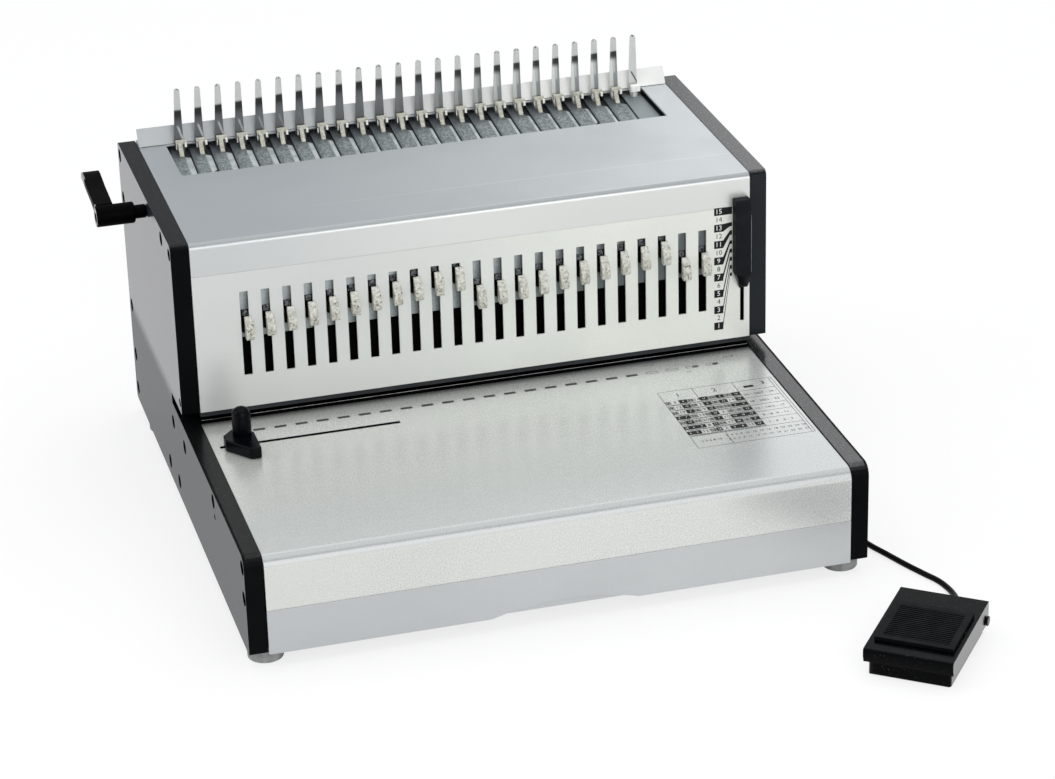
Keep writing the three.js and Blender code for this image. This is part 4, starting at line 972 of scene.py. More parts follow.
class Shape:
    """A bmesh in the machine's millimetres, shaped by bmesh operators."""

    def __init__(self) -> None:
        """Start with nothing."""
        self.mesh = bmesh.new()

    @classmethod
    def block(cls, x: Span, y: Span, z: Span) -> "Shape":
        """Make a block.

        Args:
            x: Its lowest and highest X.
            y: Its lowest and highest Y.
            z: Its lowest and highest Z.

        Returns:
            The block.
        """
        shape = cls()
        bmesh.ops.create_cube(shape.mesh, size=1.0)
        spans = (x, y, z)
        sizes = Vector([high - low for low, high in spans])
        centre = Vector([(high + low) / 2 for low, high in spans])
        shape.change(Matrix.Translation(centre) @ Matrix.Diagonal(sizes.to_4d()))
        return shape

    @classmethod
    def plate(cls, outline: Sequence[Point], along: Point) -> "Shape":
        """Extrude a flat outline.

        Args:
            outline: The corners of the outline, which lie in one plane.
            along: The way and the distance of the extrusion.

        Returns:
            The closed shape.
        """
        shape = cls()
        face = shape.mesh.faces.new([shape.mesh.verts.new(corner) for corner in outline])
        raised = bmesh.ops.extrude_face_region(shape.mesh, geom=[face], use_keep_orig=True)
        moved = [item for item in raised["geom"] if isinstance(item, bmesh.types.BMVert)]
        bmesh.ops.translate(shape.mesh, verts=moved, vec=Vector(along))
        shape.face_out()
        return shape

    @classmethod
    def turned(
        cls, profile: Sequence[Span], centre: Point, axis: Axis = Axis.Z, steps: int = 32
    ) -> "Shape":
        """Spin a profile about an axis.

        Args:
            profile: Pairs of a radius and a height along the axis.
            centre: The point that the heights are counted from.
            axis: The direction of the axis.
            steps: How many steps a whole turn has.

        Returns:
            The closed shape.
        """
        shape = cls()
        verts = [shape.mesh.verts.new((radius, 0.0, height)) for radius, height in profile]
        edges = [shape.mesh.edges.new(pair) for pair in zip(verts, verts[1:])]
        bmesh.ops.spin(
            shape.mesh, geom=verts + edges, cent=(0, 0, 0), axis=(0, 0, 1), angle=2 * math.pi,
            steps=steps, use_merge=True,
        )
        shape.merge()
        bmesh.ops.holes_fill(shape.mesh, edges=[e for e in shape.mesh.edges if e.is_boundary], sides=0)
        shape.face_out()
        shape.change(Matrix.Translation(Vector(centre)) @ axis.rotation())
        return shape

    @classmethod
    def upright(cls, x: Span, profile: Sequence[Span]) -> "Shape":
        """Extrude a side view, given as pairs of Y and Z, from one X to another."""
        left, right = x
        return cls.plate([(left, y, z) for y, z in profile], (right - left, 0, 0))

    @classmethod
    def copy_of(cls, node: str) -> "Shape":
        """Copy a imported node, merge its loose triangles and dissolve the edges inside its flats.

        Args:
            node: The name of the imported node.

        Returns:
            The clean shape, in the machine's millimetres.
        """
        shape = cls()
        shape.mesh.from_mesh(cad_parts[node].data)
        shape.change(INTO_ROW.inverted())
        shape.merge()
        bmesh.ops.dissolve_limit(
            shape.mesh, angle_limit=math.radians(FLAT_ANGLE), use_dissolve_boundaries=False,
            verts=shape.mesh.verts[:], edges=shape.mesh.edges[:],
        )
        return shape

    def merge(self, distance: float = 0.0005) -> "Shape":
        """Merge points that lie on each other."""
        bmesh.ops.remove_doubles(self.mesh, verts=self.mesh.verts[:], dist=distance)
        return self

    def face_out(self) -> "Shape":
        """Turn all faces outwards."""
        bmesh.ops.recalc_face_normals(self.mesh, faces=self.mesh.faces[:])
        return self

    def change(self, matrix: Matrix) -> "Shape":
        """Move, turn or scale the shape."""
        bmesh.ops.transform(self.mesh, matrix=matrix, verts=self.mesh.verts[:])
        return self

    def moved(self, x: float, y: float, z: float) -> "Shape":
        """Move the shape."""
        return self.change(Matrix.Translation(Vector((x, y, z))))

    def bevel(self, width: float, segments: int = 2, sharper: float = 35.0) -> "Shape":
        """Bevel the sharp edges.

        Args:
            width: The width of the bevel.
            segments: How many faces it has across.
            sharper: The angle in degrees past which an edge is sharp.

        Returns:
            The shape itself.
        """
        least = math.radians(sharper)
        sharp = [e for e in self.mesh.edges if e.is_manifold and e.calc_face_angle(0.0) > least]
        bmesh.ops.bevel(
            self.mesh, geom=sharp, offset=width, offset_type="OFFSET", segments=segments, profile=0.5,
            affect="EDGES", clamp_overlap=True, material=-1, loop_slide=True,
        )
        return self

    def join(self, *others: "Shape") -> "Shape":
        """Take other shapes, which are used up, into this one.

        Args:
            others: The other shapes.

        Returns:
            The shape itself.
        """
        for other in others:
            scratch = bpy.data.meshes.new("scratch")
            other.mesh.to_mesh(scratch)
            self.mesh.from_mesh(scratch)
            bpy.data.meshes.remove(scratch)
            other.mesh.free()
        return self

    def cut(self, tool: "Shape") -> "Shape":
        """Take the space of another shape out of this one.

        Args:
            tool: The other shape, which is used up. It may not run into itself.

        Returns:
            The shape itself.
        """
        carriers = []
        for shape in (self, tool):
            data = bpy.data.meshes.new("scratch")
            shape.mesh.to_mesh(data)
            shape.mesh.free()
            carriers.append(stand("scratch", data))
        modifier = carriers[0].modifiers.new("cut", "BOOLEAN")
        modifier.operation = "DIFFERENCE"
        modifier.solver = "EXACT"
        modifier.object = carriers[1]
        solid = settled_mesh(carriers[0])
        self.mesh = bmesh.new()
        self.mesh.from_mesh(solid)
        bpy.data.meshes.remove(solid)
        for carrier in carriers:
            data = carrier.data
            bpy.data.objects.remove(carrier)
            bpy.data.meshes.remove(data)
        return self

    def bisect(self, through: Point, normal: Point) -> "Shape":
        """Cut new edges along a plane, and keep both sides.

        Args:
            through: A point of the plane.
            normal: The way that the plane faces.

        Returns:
            The shape itself.
        """
        bmesh.ops.bisect_plane(
            self.mesh, geom=self.mesh.verts[:] + self.mesh.edges[:] + self.mesh.faces[:], dist=0.0001,
            plane_co=through, plane_no=normal,
        )
        return self

    def dye(self, slot: int, wanted: Callable[[Vector], bool] = lambda middle: True) -> "Shape":
        """Give faces another of the piece's materials.

        Args:
            slot: The material's index.
            wanted: Says of a face's middle whether the face is one of them.

        Returns:
            The shape itself.
        """
        for face in self.mesh.faces:
            if wanted(face.calc_center_median()):
                face.material_index = slot
        return self

    def finish(
        self, name: str, finishes: "Finish | Sequence[Finish]", body: str, slot: str,
        replaces: Sequence[str] = (), weighted: bool = True,
    ) -> bpy.types.Object:
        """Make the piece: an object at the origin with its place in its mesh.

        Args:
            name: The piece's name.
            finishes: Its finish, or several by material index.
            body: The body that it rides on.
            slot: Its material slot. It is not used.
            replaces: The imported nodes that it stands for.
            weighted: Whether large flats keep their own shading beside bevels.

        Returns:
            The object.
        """
        for edge in self.mesh.edges:
            edge.smooth = edge.calc_face_angle(math.pi) <= math.radians(SMOOTH_ANGLE)
        for face in self.mesh.faces:
            face.smooth = True
        self.change(INTO_ROW)
        data = bpy.data.meshes.new(name)
        self.mesh.to_mesh(data)
        self.mesh.free()
        for finish in [finishes] if isinstance(finishes, Finish) else finishes:
            data.materials.append(finish.material())
        piece = stand(name, data)
        if weighted:
            piece.modifiers.new("weighted_normal", "WEIGHTED_NORMAL").keep_sharp = True
        settle(piece, body, replaces)
        return piece


def settle(piece: bpy.types.Object, body: str, replaces: Sequence[str] = ()) -> None:
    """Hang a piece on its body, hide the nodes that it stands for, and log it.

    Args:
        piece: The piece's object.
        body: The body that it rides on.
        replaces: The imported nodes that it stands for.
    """
    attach(piece, body)
    if replaces:
        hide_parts(*replaces)
    log.info("%s rides on %s%s", piece.name, body, f", for {', '.join(replaces)}" if replaces else "")


def dress(
    node: str, finish: Finish, body: str, slot: str, edge: float, segments: int = 2
) -> bpy.types.Object:
    """Stand a finished copy of a node, with its sharp edges bevelled to a width, in its place."""
    shape = Shape.copy_of(node).bevel(edge, segments)
    return shape.finish(f"{node}_skin", finish, body, slot, [node])


def raised_figures(text: str, height: float) -> Shape:
    """Make flat raised figures that lie on the XY plane, centred on the origin.

    Args:
        text: Plain numbers.
        height: The height of the figures in millimetres.

    Returns:
        The figures as a closed shape.
    """
    curve = bpy.data.curves.new("figures", "FONT")
    curve.body = text
    curve.size = height / CAPITAL_SHARE
    curve.align_x = curve.align_y = "CENTER"
    curve.resolution_u = 2
    curve.extrude = FIGURE_LIFT / 2
    carrier = stand("figures", curve)
    flat = settled_mesh(carrier)
    shape = Shape()
    shape.mesh.from_mesh(flat)
    shape.merge(0.0001)
    bpy.data.objects.remove(carrier)
    bpy.data.curves.remove(curve)
    bpy.data.meshes.remove(flat)
    return shape.moved(0, 0, FIGURE_LIFT / 2)


# The studio


@dataclass
class Studio:
    """The floor, the lamps, the world and the camera.

    Attributes:
        camera_place: The camera's place in the machine's millimetres.
        yaw: Its turn about Z in degrees.
        pitch: Its tilt up in degrees.
        roll: Its turn about its own axis in degrees.
        focal_pixels: Its focal length in the photograph's pixels.
        picture_width: The photograph's width in pixels.
        floor_size: The side of the floor in metres.
        glow: How much of the floor's white is its own, where it is seen or mirrored.
    """

    camera_place: Point = (-518.11, -1836.97, 1056.55)
    yaw: float = -15.147
    pitch: float = -25.127
    roll: float = -1.564
    focal_pixels: float = 3443.61
    picture_width: int = 1055
    floor_size: float = 14.0
    glow: float = 0.76

    def build(self) -> None:
        """Make the studio."""
        self.place_camera()
        self.lay_floor()
        self.fill_world()
        self.hang_lamp("overhead_softbox", (0.0, 0.25, 2.1), (0.0, 0.1, 0.1), 2.9, 26.0)
        self.hang_lamp("front_softbox", (0.3, -2.4, 1.1), (0.0, 0.1, 0.1), 2.0, 27.0)
        self.hang_lamp("left_softbox", (-2.4, 0.4, 1.1), (0.0, 0.1, 0.12), 1.6, 12.0)
        self.hang_lamp("rear_softbox", (1.7, 2.2, 1.2), (0.1, 0.1, 0.15), 1.8, 7.0)

    def place_camera(self) -> None:
        """Stand the camera where the photograph was taken from."""
        data = bpy.data.cameras.new("photograph_camera")
        data.sensor_fit = "HORIZONTAL"
        data.sensor_width = 36.0
        data.lens = self.focal_pixels * data.sensor_width / self.picture_width
        data.clip_start = 0.05
        data.clip_end = 50.0
        camera = stand("photograph_camera", data)
        place = Matrix.Translation(row_point(*self.camera_place))
        yaw, tilt, roll = (math.radians(angle) for angle in (self.yaw, 90 + self.pitch, self.roll))
        turn = Matrix.Rotation(yaw, 4, "Z") @ Matrix.Rotation(tilt, 4, "X") @ Matrix.Rotation(roll, 4, "Z")
        camera.matrix_world = place @ turn
        bpy.context.scene.camera = camera

    def lay_floor(self) -> None:
        """Lay a pale floor that looks white and keeps a soft shadow."""
        floor_mesh = bmesh.new()
        bmesh.ops.create_grid(floor_mesh, x_segments=1, y_segments=1, size=self.floor_size / 2)
        bmesh.ops.translate(floor_mesh, vec=(0, 0, -0.0001), verts=floor_mesh.verts[:])
        data = bpy.data.meshes.new("floor")
        floor_mesh.to_mesh(data)
        floor_mesh.free()
        floor = stand("floor", data)
        graph = Paint("floor_white")
        graph.set(Base_Color=tone(243, 243, 243), Roughness=0.9, Specular_IOR_Level=0.0)
        glow = graph.node("ShaderNodeEmission", {}, {"Color": (1, 1, 1, 1), "Strength": 1.0})
        rays = graph.node("ShaderNodeLightPath").outputs
        kinds = ("Is Camera Ray", "Is Glossy Ray", "Is Transmission Ray")
        seen, mirrored, through = (Signal(graph, rays[kind]) for kind in kinds)
        shaders = {0: (seen + mirrored + through) * self.glow, 1: graph.shader.outputs[0], 2: glow.outputs[0]}
        mixed = graph.node("ShaderNodeMixShader", {}, shaders)
        graph.feed(graph.output.inputs["Surface"], mixed.outputs[0])
        data.materials.append(graph.material)

    @staticmethod
    def fill_world() -> None:
        """Surround the scene with a soft grey that is brighter overhead."""
        world = bpy.data.worlds.new("studio_world")
        bpy.context.scene.world = world
        graph = Graph(world)
        parts = graph.node("ShaderNodeSeparateXYZ", {}, {0: graph.coordinates["Generated"]})
        stops = [(0.0, (0.62, 0.63, 0.66, 1.0)), (0.8, (0.85, 0.86, 0.88, 1.0))]
        sky = graph.node("ShaderNodeValToRGB", {"stops": stops}, {0: parts.outputs[2]})
        backdrop = graph.node("ShaderNodeBackground", {}, {"Color": sky.outputs[0], "Strength": 0.75})
        graph.node("ShaderNodeOutputWorld", {}, {"Surface": backdrop.outputs[0]})

    @staticmethod
    def hang_lamp(name: str, place: Point, target: Point, size: float, power: float) -> None:
        """Hang a square softbox.

        Args:
            name: The lamp's name.
            place: Where it hangs, in metres in the row frame.
            target: The point that it faces.
            size: Its side in metres.
            power: Its power in watts.
        """
        data = bpy.data.lights.new(name, "AREA")
        data.shape = "SQUARE"
        data.size = size
        data.energy = power
        lamp = stand(name, data)
        aim = (Vector(target) - Vector(place)).to_track_quat("-Z", "Y")
        lamp.matrix_world = Matrix.Translation(Vector(place)) @ aim.to_matrix().to_4x4()


# The pedal's cord


@dataclass
class PedalCord:
    """The thin cord from the gland at the rear, through a small coil behind the machine, to the pedal.

    Attributes:
        diameter: The cord's diameter.
        lie: The height of its middle on the table.
        coil_centre: The middle of the coil on the table.
        coil_reach: The radius of its outermost turn.
        coil_pitch: How far a turn lies from the next, sideways and upwards.
        coil_turns: How many turns it has.
        coil_steps: How many points a turn has.
        coil_start_share: The share of a turn at which it starts.
        pedal_place: The middle of the pedal on the table.
        pedal_turn: The pedal's turn about Z in degrees.
        gland_stretch: The points from the gland to the coil.
        pedal_stretch: The points from the coil to the pedal.
        pedal_ends: The last two points, in the pedal's own frame.
    """

    diameter: float = 4.0
    lie: float = 2.05
    coil_centre: Span = (100.0, 442.0)
    coil_reach: float = 31.475
    coil_pitch: float = 4.6
    coil_turns: float = 6.5
    coil_steps: int = 24
    coil_start_share: float = 0.25
    pedal_place: Span = (199.5, -110.4)
    pedal_turn: float = -37.9
    gland_stretch: tuple[Point, ...] = (
        (165, 409.2, 20), (165, 413.2, 20), (164.6, 421, 17.6), (162.6, 430, 12.6), (158.9, 440, 7.4),
        (153.2, 449.5, 3.9), (145, 459, 2.3), (134, 467, 2.05), (121, 471.8, 2.05),
    )
    pedal_stretch: tuple[Point, ...] = (
        (108.3, 410.525, 6.65), (118, 409.6, 5.4), (130, 409, 3), (145, 408.6, 2.05),
        (165, 408.8, 2.05), (185, 408.4, 2.05), (200, 403.4, 2.05), (209, 391, 2.05), (211, 374, 2.05),
        (209.6, 340, 2.05), (208.6, 300, 2.05), (209, 255, 2.05), (210, 205, 2.05), (210.4, 155, 2.05),
        (209.4, 110, 2.05), (209, 80, 2.05), (210.6, 56, 2.05), (215.8, 32.3, 2.05),
        (221.8, 16.2, 2.05), (228.9, -2.8, 2.05), (235.8, -19.1, 2.05), (240.2, -29.2, 2.05),
        (242.2, -39.7, 2.2), (242, -49.6, 3.1), (240.1, -59, 5), (237, -66.5, 6.6),
    )
    pedal_ends: tuple[Point, Point] = ((4.0, 50.4, 7.0), (4.0, 46.4, 7.0))

    def coil_point(self, turn: float) -> Point:
        """Find the cord's middle somewhere in the coil.

        Args:
            turn: How many turns into the coil.

        Returns:
            The point.
        """
        from_reverse = turn - self.coil_turns / 2
        radius = self.coil_reach - self.coil_pitch * (self.coil_turns / 2 - abs(from_reverse))
        share = min(max((from_reverse + 0.25) / 0.5, 0.0), 1.0)
        climb = self.coil_pitch * share * share * (3 - 2 * share)
        angle = (self.coil_start_share + turn) * 2 * math.pi
        middle_x, middle_y = self.coil_centre
        return (middle_x + radius * math.cos(angle), middle_y + radius * math.sin(angle), self.lie + climb)

    def route(self) -> list[Vector]:
        """List the points of the whole cord.

        Returns:
            The points, in the row frame.
        """
        steps = round(self.coil_turns * self.coil_steps)
        coil = [self.coil_point(self.coil_turns * step / steps) for step in range(steps + 1)]
        into_pedal = Matrix.Translation(Vector((*self.pedal_place, 0.0))) @ Matrix.Rotation(
            math.radians(self.pedal_turn), 4, "Z"
        )
        ends = [tuple(into_pedal @ Vector(point)) for point in self.pedal_ends]
        points = [*self.gland_stretch, *coil, *self.pedal_stretch, *ends]
        return [row_point(*point) for point in points]

    def build(self) -> None:
        points = self.route()
        curve = bpy.data.curves.new("pedal_cord", "CURVE")
        curve.dimensions = "3D"
        curve.bevel_depth = self.diameter / 2 * MM
        curve.bevel_resolution = 3
        curve.resolution_u = 4
        curve.use_fill_caps = True
        spline = curve.splines.new("BEZIER")
        spline.bezier_points.add(len(points) - 1)
        for knot, point in zip(spline.bezier_points, points):
            knot.co = point
            knot.handle_left_type = knot.handle_right_type = "AUTO"
        curve.materials.append(CORD_RUBBER.material())
        piece = stand("pedal_cord", curve)
        settle(piece, "frame", ["cord_from_gland", "cord_coil", "cord_to_pedal"])
        self.gland()
        self.boot()

    def gland(self) -> bpy.types.Object:
        """Make the ribbed gland in the rear cover.

        Returns:
            The gland.
        """
        box = NodeBox("cord_gland")
        flange_y, tip_y = box.low.y, box.high.y
        reach = tip_y - flange_y
        flange_radius = (box.high.x - box.low.x) / 2
        profile = [(2.1, 0.0), (flange_radius - 0.4, 0.0), (flange_radius, 0.4), (flange_radius, 1.4)]
        profile += [(5.0, 1.7), (5.0, 6.0)]
        ribs = 4
        for rib in range(ribs):
            start = 6.4 + rib * 2.0
            radius = 4.7 - rib * 0.42
            profile += [(radius, start), (radius, start + 1.1), (radius - 0.7, start + 1.4)]
            profile += [(radius - 0.7, start + 1.9)]
        profile += [(2.9, reach - 0.4), (2.6, reach), (2.1, reach)]
        profile.append(profile[0])
        shape = Shape.turned(profile, (box.middle.x, flange_y, box.middle.z), Axis.Y)
        return shape.finish("cord_gland_skin", CORD_RUBBER, "frame", "black_rubber", ["cord_gland"])

    def boot(self) -> bpy.types.Object:
        """Break the edges of the boot at the pedal."""
        return dress("pedal_cord_boot", CORD_RUBBER, "frame", "black_rubber", 0.4)


# The housing


@dataclass
class SidePlates:
    """The two thick side plates and their screws.

    Attributes:
        edge: The width of the plates' broken edges.
        screws: The Y, Z and diameter of each screw head.
        seat_gap: The gap round a sunk head.
        seat_depth: How deep its seat is.
        drawn: The head width that the profile in head() is drawn for.
        head_scale: How much wider the heads are made than they are listed.
    """

    edge: float = 1.0
    screws: tuple[Point, ...] = (
        (390.7, 197.0, 6.2), (388.8, 166.1, 6.2), (389.7, 84.2, 6.2), (388.9, 46.5, 6.2),
        (390.2, 20.0, 6.2), (232.2, 197.1, 6.2), (203.8, 196.9, 5.4), (202.6, 91.9, 3.6),
        (237.3, 62.2, 6.2), (197.0, 61.8, 6.2), (263.3, 20.9, 6.2), (229.2, 21.4, 6.2),
        (96.9, 70.0, 6.2), (94.2, 60.4, 2.3), (5.9, 68.5, 6.2), (5.6, 47.1, 6.2),
    )
    seat_gap: float = 0.5
    seat_depth: float = 3.4
    drawn: float = 6.2
    head_scale: float = 1.4

    def build(self) -> None:
        """Make both plates, with a seat for each screw, and both sets of screws."""
        for side, name in ((-1, "left"), (1, "right")):
            node = f"{name}_side_plate"
            plate = Shape.copy_of(node).bevel(self.edge, 3, 12.0)
            plate.cut(self.at_screws(side, self.seat))
            plate.finish(f"{node}_skin", PLATE_BLACK, "frame", "black_paint", [node])
            screws = self.at_screws(side, self.head)
            screws.finish(f"{name}_plate_screws", SCREW_STEEL, "frame", "steel")

    def at_screws(self, side: int, make: Callable[[float], Shape]) -> Shape:
        """Put a shape at each screw of one side.

        Args:
            side: -1 for the left plate and 1 for the right one.
            make: Makes the shape for a head's diameter, on the XY plane.

        Returns:
            All of them as one shape.
        """
        outer = abs(NodeBox("left_side_plate").low.x)
        group = Shape()
        for y, z, listed in self.screws:
            width = listed * self.head_scale
            group.join(make(width).change(Matrix.Translation((outer, y, z)) @ Axis.X.rotation()))
        if side < 0:
            group.change(Matrix.Scale(-1, 4, (1, 0, 0)))
            group.face_out()
        return group

    def seat(self, width: float) -> Shape:
        """Make the space that one head is sunk into.

        Args:
            width: The head's diameter.

        Returns:
            The space, on the XY plane.
        """
        radius, floor = width / 2 + self.seat_gap, -self.seat_depth
        profile = [(0.0, floor), (radius, floor), (radius, 0.7), (radius + 0.6, 1.3), (0.0, 1.3)]
        return Shape.turned(profile, (0, 0, 0), Axis.Z, 20)

    def head(self, width: float) -> Shape:
        """Make one sunk head with its socket.

        Args:
            width: The head's diameter.

        Returns:
            The head, on the XY plane.
        """
        profile = [(0.0, -2.9), (3.1, -2.9), (3.1, -1.5), (2.95, -1.15), (2.6, -0.9), (1.7, -0.8)]
        shape = Shape.turned(profile, (0, 0, 0), Axis.Z, 18)
        faces = shape.mesh.faces
        top = max(faces, key=lambda face: face.calc_center_median().z + len(face.verts) * 0.001)
        bmesh.ops.inset_region(shape.mesh, faces=[top], thickness=0.25, use_even_offset=True)
        low = bmesh.ops.extrude_discrete_faces(shape.mesh, faces=[top])["faces"]
        bmesh.ops.translate(shape.mesh, vec=(0, 0, -1.1), verts=low[0].verts[:])
        scale = width / self.drawn
        return shape.change(Matrix.Diagonal((scale, scale, 1.0, 1.0)))


@dataclass
class Covers:
    """The silver sheets, the bottom plate and the rear cover.

    Attributes:
        edge: The width of the sheets' broken edges.
        flange_x: The left and right end of the flanges in the seams.
    """

    edge: float = 0.3
    flange_x: Span = (-190.6, 190.6)

    def build(self) -> None:
        """Make each sheet."""
        nodes = ("base_cover", "top_cover", "front_panel", "rear_cover")
        for node, finish in zip(nodes, (BASE_SATIN, TOP_SATIN, PANEL_SATIN, SATIN)):
            dress(node, finish, "frame", "satin_silver", self.edge)
        dress("bottom_plate", ZINC, "frame", "zinc", self.edge)
        dress("document_rest", PALE, "frame", "pale_sheet", self.edge)
        dress("waste_drawer", DRAWER_SATIN, "drawer", "satin_silver", self.edge, 3)
        self.seams()

    def seams(self) -> None:
        """Make the narrow flanges that show in the seams of the front."""
        drawer, cover = NodeBox("waste_drawer"), NodeBox("base_cover")
        panel, top = NodeBox("front_panel"), NodeBox("top_cover")
        depth, height = (cover.low.y + 0.25, cover.low.y + 1.2), (drawer.high.z + 0.08, cover.low.z)
        low = Shape.block(self.flange_x, depth, height).bevel(0.04, 1)
        low.finish("base_cover_flange", BASE_SATIN, "frame", "satin_silver")
        depth, height = (panel.low.y + 0.1, panel.low.y + 1.2), (panel.high.z, top.low.z)
        high = Shape.block(self.flange_x, depth, height)
        high.finish("top_cover_flange", PANEL_SATIN, "frame", "satin_silver")


@dataclass
class Print:
    """The print on the covers: the size chart, the row of dashes and the scale of the size stop.

    Attributes:
        lift: How far the ink stands up.
        chart_x: The chart's left and right edge.
        chart_y: Its front and rear edge.
        line: The width of its lines.
        columns: The shares of its width at which the cells of the chart start and end.
        rows: The shares of its length, from the rear, at which its rows of cells start and end.
        cells: Each cell of each row: b is black, d is dark, g is grey print and w is white.
        small_line: The height of the line of small numbers below each row of cells.
        dash_count: How many dashes the row has.
        dash_ends: The middle of its first and last dash.
        dash_half: Half the width and length of a dash.
        outlined_from: The number of the first outlined dash, counted from 0.
        filled_from: The number of the first whose right half is filled.
        marks: The small numbers near the dashes, with their places.
        scale_x: The left and right edge of the scale.
        scale_z: Its lowest and highest edge.
        scale_count: How many cells it has.
        ticks: The height of the tick of each black cell, from the top.
        tick_x: The X at which the ticks start and end.
    """

    lift: float = 0.03
    chart_x: Span = (108.5, 188.4)
    chart_y: Span = (59.0, 147.0)
    line: float = 0.35
    columns: tuple[float, ...] = (0.0, 0.05, 0.12, 0.19, 0.25, 0.3, 0.37, 0.44, 0.51, 0.58, 0.654)
    rows: tuple[float, ...] = (0.17, 0.26, 0.35, 0.44, 0.53, 0.62, 0.71, 0.8)
    cells: tuple[str, ...] = (
        "gwbgwbgdgb", "gwbgwbgdwb", "gwbgwdggdd", "dbgwgbwggb", "gbgwgbwdbd", "dbdwdgwbgd", "dbwgdwdbwb",
    )
    small_line: float = 2.4
    dash_count: int = 23
    dash_ends: tuple[Span, Span] = ((-155.9, 178.4), (158.0, 179.4))
    dash_half: Span = (4.0, 1.55)
    outlined_from: int = 19
    filled_from: int = 21
    marks: tuple[tuple[str, Span], ...] = (
        ("12 14", (116.2, 191.0)), ("10", (139.3, 172.8)), ("16 18", (172.1, 187.7)),
    )
    scale_x: Span = (165.5, 172.0)
    scale_z: Span = (92.5, 182.5)
    scale_count: int = 15
    ticks: tuple[Span, ...] = (
        (176.8, 182.1), (168.0, 170.8), (161.7, 164.9), (155.0, 157.5), (148.7, 151.5), (142.7, 145.5),
        (136.7, 139.5), (131.5, 134.0),
    )
    tick_x: Span = (176.7, 178.2)

    def build(self) -> None:
        """Make all print."""
        self.chart()
        self.dashes()
        self.scale()

    @staticmethod
    def stamp(name: str, shape: Shape, ink: Finish) -> None:
        """Add the print of one ink to the scene."""
        slot = "pale_sheet" if ink is WHITE_INK else "black_paint"
        shape.finish(name, ink, "frame", slot, weighted=False)

    def bar(self, middle: Span, half: Span) -> Shape:
        """Make one flat bar of ink on the base cover.

        Args:
            middle: The X and Y of its middle.
            half: Half its width and half its length.

        Returns:
            The bar.
        """
        x, y = ((place - reach, place + reach) for place, reach in zip(middle, half))
        top = NodeBox("base_cover").high.z
        return Shape.block(x, y, (top - 0.02, top + self.lift))

    def chart_place(self, across: float, down: float) -> Span:
        """Turn shares of the chart's width and length into X and Y."""
        (left, right), (front, rear) = self.chart_x, self.chart_y
        return (left + across * (right - left), rear - down * (rear - front))

    def rule(self, start: Span, end: Span) -> Shape:
        """Make one straight line of the chart between two places given in shares."""
        places = zip(self.chart_place(*start), self.chart_place(*end))
        return self.bar(*zip(*(((a + b) / 2, (abs(b - a) + self.line) / 2) for a, b in places)))

    def chart(self) -> None:
        """Make the chart: its border and rules, its dark cells and its plain numbers."""
        split = self.columns[-1]
        rules = [((0, 0), (1, 0)), ((0, 1), (1, 1)), ((0, 0), (0, 1)), ((1, 0), (1, 1))]
        rules += [((0.975, 0.02), (0.975, 1)), ((split, 0), (split, 0.8)), ((0.3, 0), (0.3, 0.17))]
        rules += [((split, step), (0.975, step)) for step in (0.17, 0.3, 0.43, 0.55, 0.67)]
        rules += [((0, 0.8), (0.975, 0.8)), ((0.3, 0.8), (0.3, 1))]
        lines = Shape()
        for start, end in rules:
            lines.join(self.rule(start, end))
        self.stamp("chart_rules", lines, INK)
        black, faint, numbers, reversed_numbers = Shape(), Shape(), Shape(), Shape()
        black.join(self.bar(self.chart_place(0.765, 0.105), (3.4, 1.5)))
        for row, marks in enumerate(self.cells):
            for column, mark in enumerate(marks):
                left, rear = self.chart_place(self.columns[column], self.rows[row])
                right, front = self.chart_place(self.columns[column + 1], self.rows[row + 1])
                front += self.small_line
                middle = ((left + right) / 2, (front + rear) / 2)
                half_x, half_y = (right - left) / 2, (rear - front) / 2
                number = str((row * 7 + column * 3) % 19 + 2)
                figures = self.figures(number, 1.7 if mark in "bd" else 3.2, middle)
                if mark in "bd":
                    black.join(self.bar(middle, (half_x, half_y - (0.1 if mark == "b" else 0.3))))
                elif mark == "g":
                    faint.join(self.bar(middle, (half_x - 0.1, half_y - 0.4)))
                (reversed_numbers if mark in "bd" else numbers).join(figures)
            words = " ".join(str(10 + (row * 5 + step * 3) % 28) for step in range(16))
            share = self.rows[row + 1] - self.small_line / 2 / (self.chart_y[1] - self.chart_y[0])
            numbers.join(self.figures(words, 1.6, self.chart_place(split / 2, share)))
            half_x = (split - 0.01) / 2 * (self.chart_x[1] - self.chart_x[0])
            faint.join(self.bar(self.chart_place((split + 0.01) / 2, share), (half_x, 0.6)))
        numbers.join(self.figures("3", 5.0, self.chart_place(0.9, 0.075)))
        for step, number in zip((0.235, 0.365, 0.49, 0.61, 0.735), (24, 18, 12, 6, 2)):
            for across, extra in ((0.74, 0), (0.87, 3)):
                words = f"{number + extra} - {number + extra + 2}"
                numbers.join(self.figures(words, 2.6, self.chart_place(across, step + 0.005)))
        for down, first in ((0.86, 2), (0.93, 3)):
            words = "  ".join(str(first + 2 * step) for step in range(13))
            numbers.join(self.figures(words, 2.2, self.chart_place(0.63, down)))
        numbers.join(self.figures("2 4 6 8 10", 2.4, self.chart_place(0.15, 0.9)))
        for across, words in ((0.15, "1"), (0.47, "2")):
            numbers.join(self.figures(words, 5.0, self.chart_place(across, 0.085)))
        self.stamp("chart_cells", black, INK)
        self.stamp("chart_grey_cells", faint, FAINT_INK)
        self.stamp("chart_numbers", numbers, INK)
        self.stamp("chart_light_numbers", reversed_numbers, WHITE_INK)

    def figures(self, number: str, height: float, middle: Span) -> Shape:
        """Write a plain number on the base cover."""
        top = NodeBox("base_cover").high.z
        return raised_figures(number, height).moved(*middle, top + self.lift)

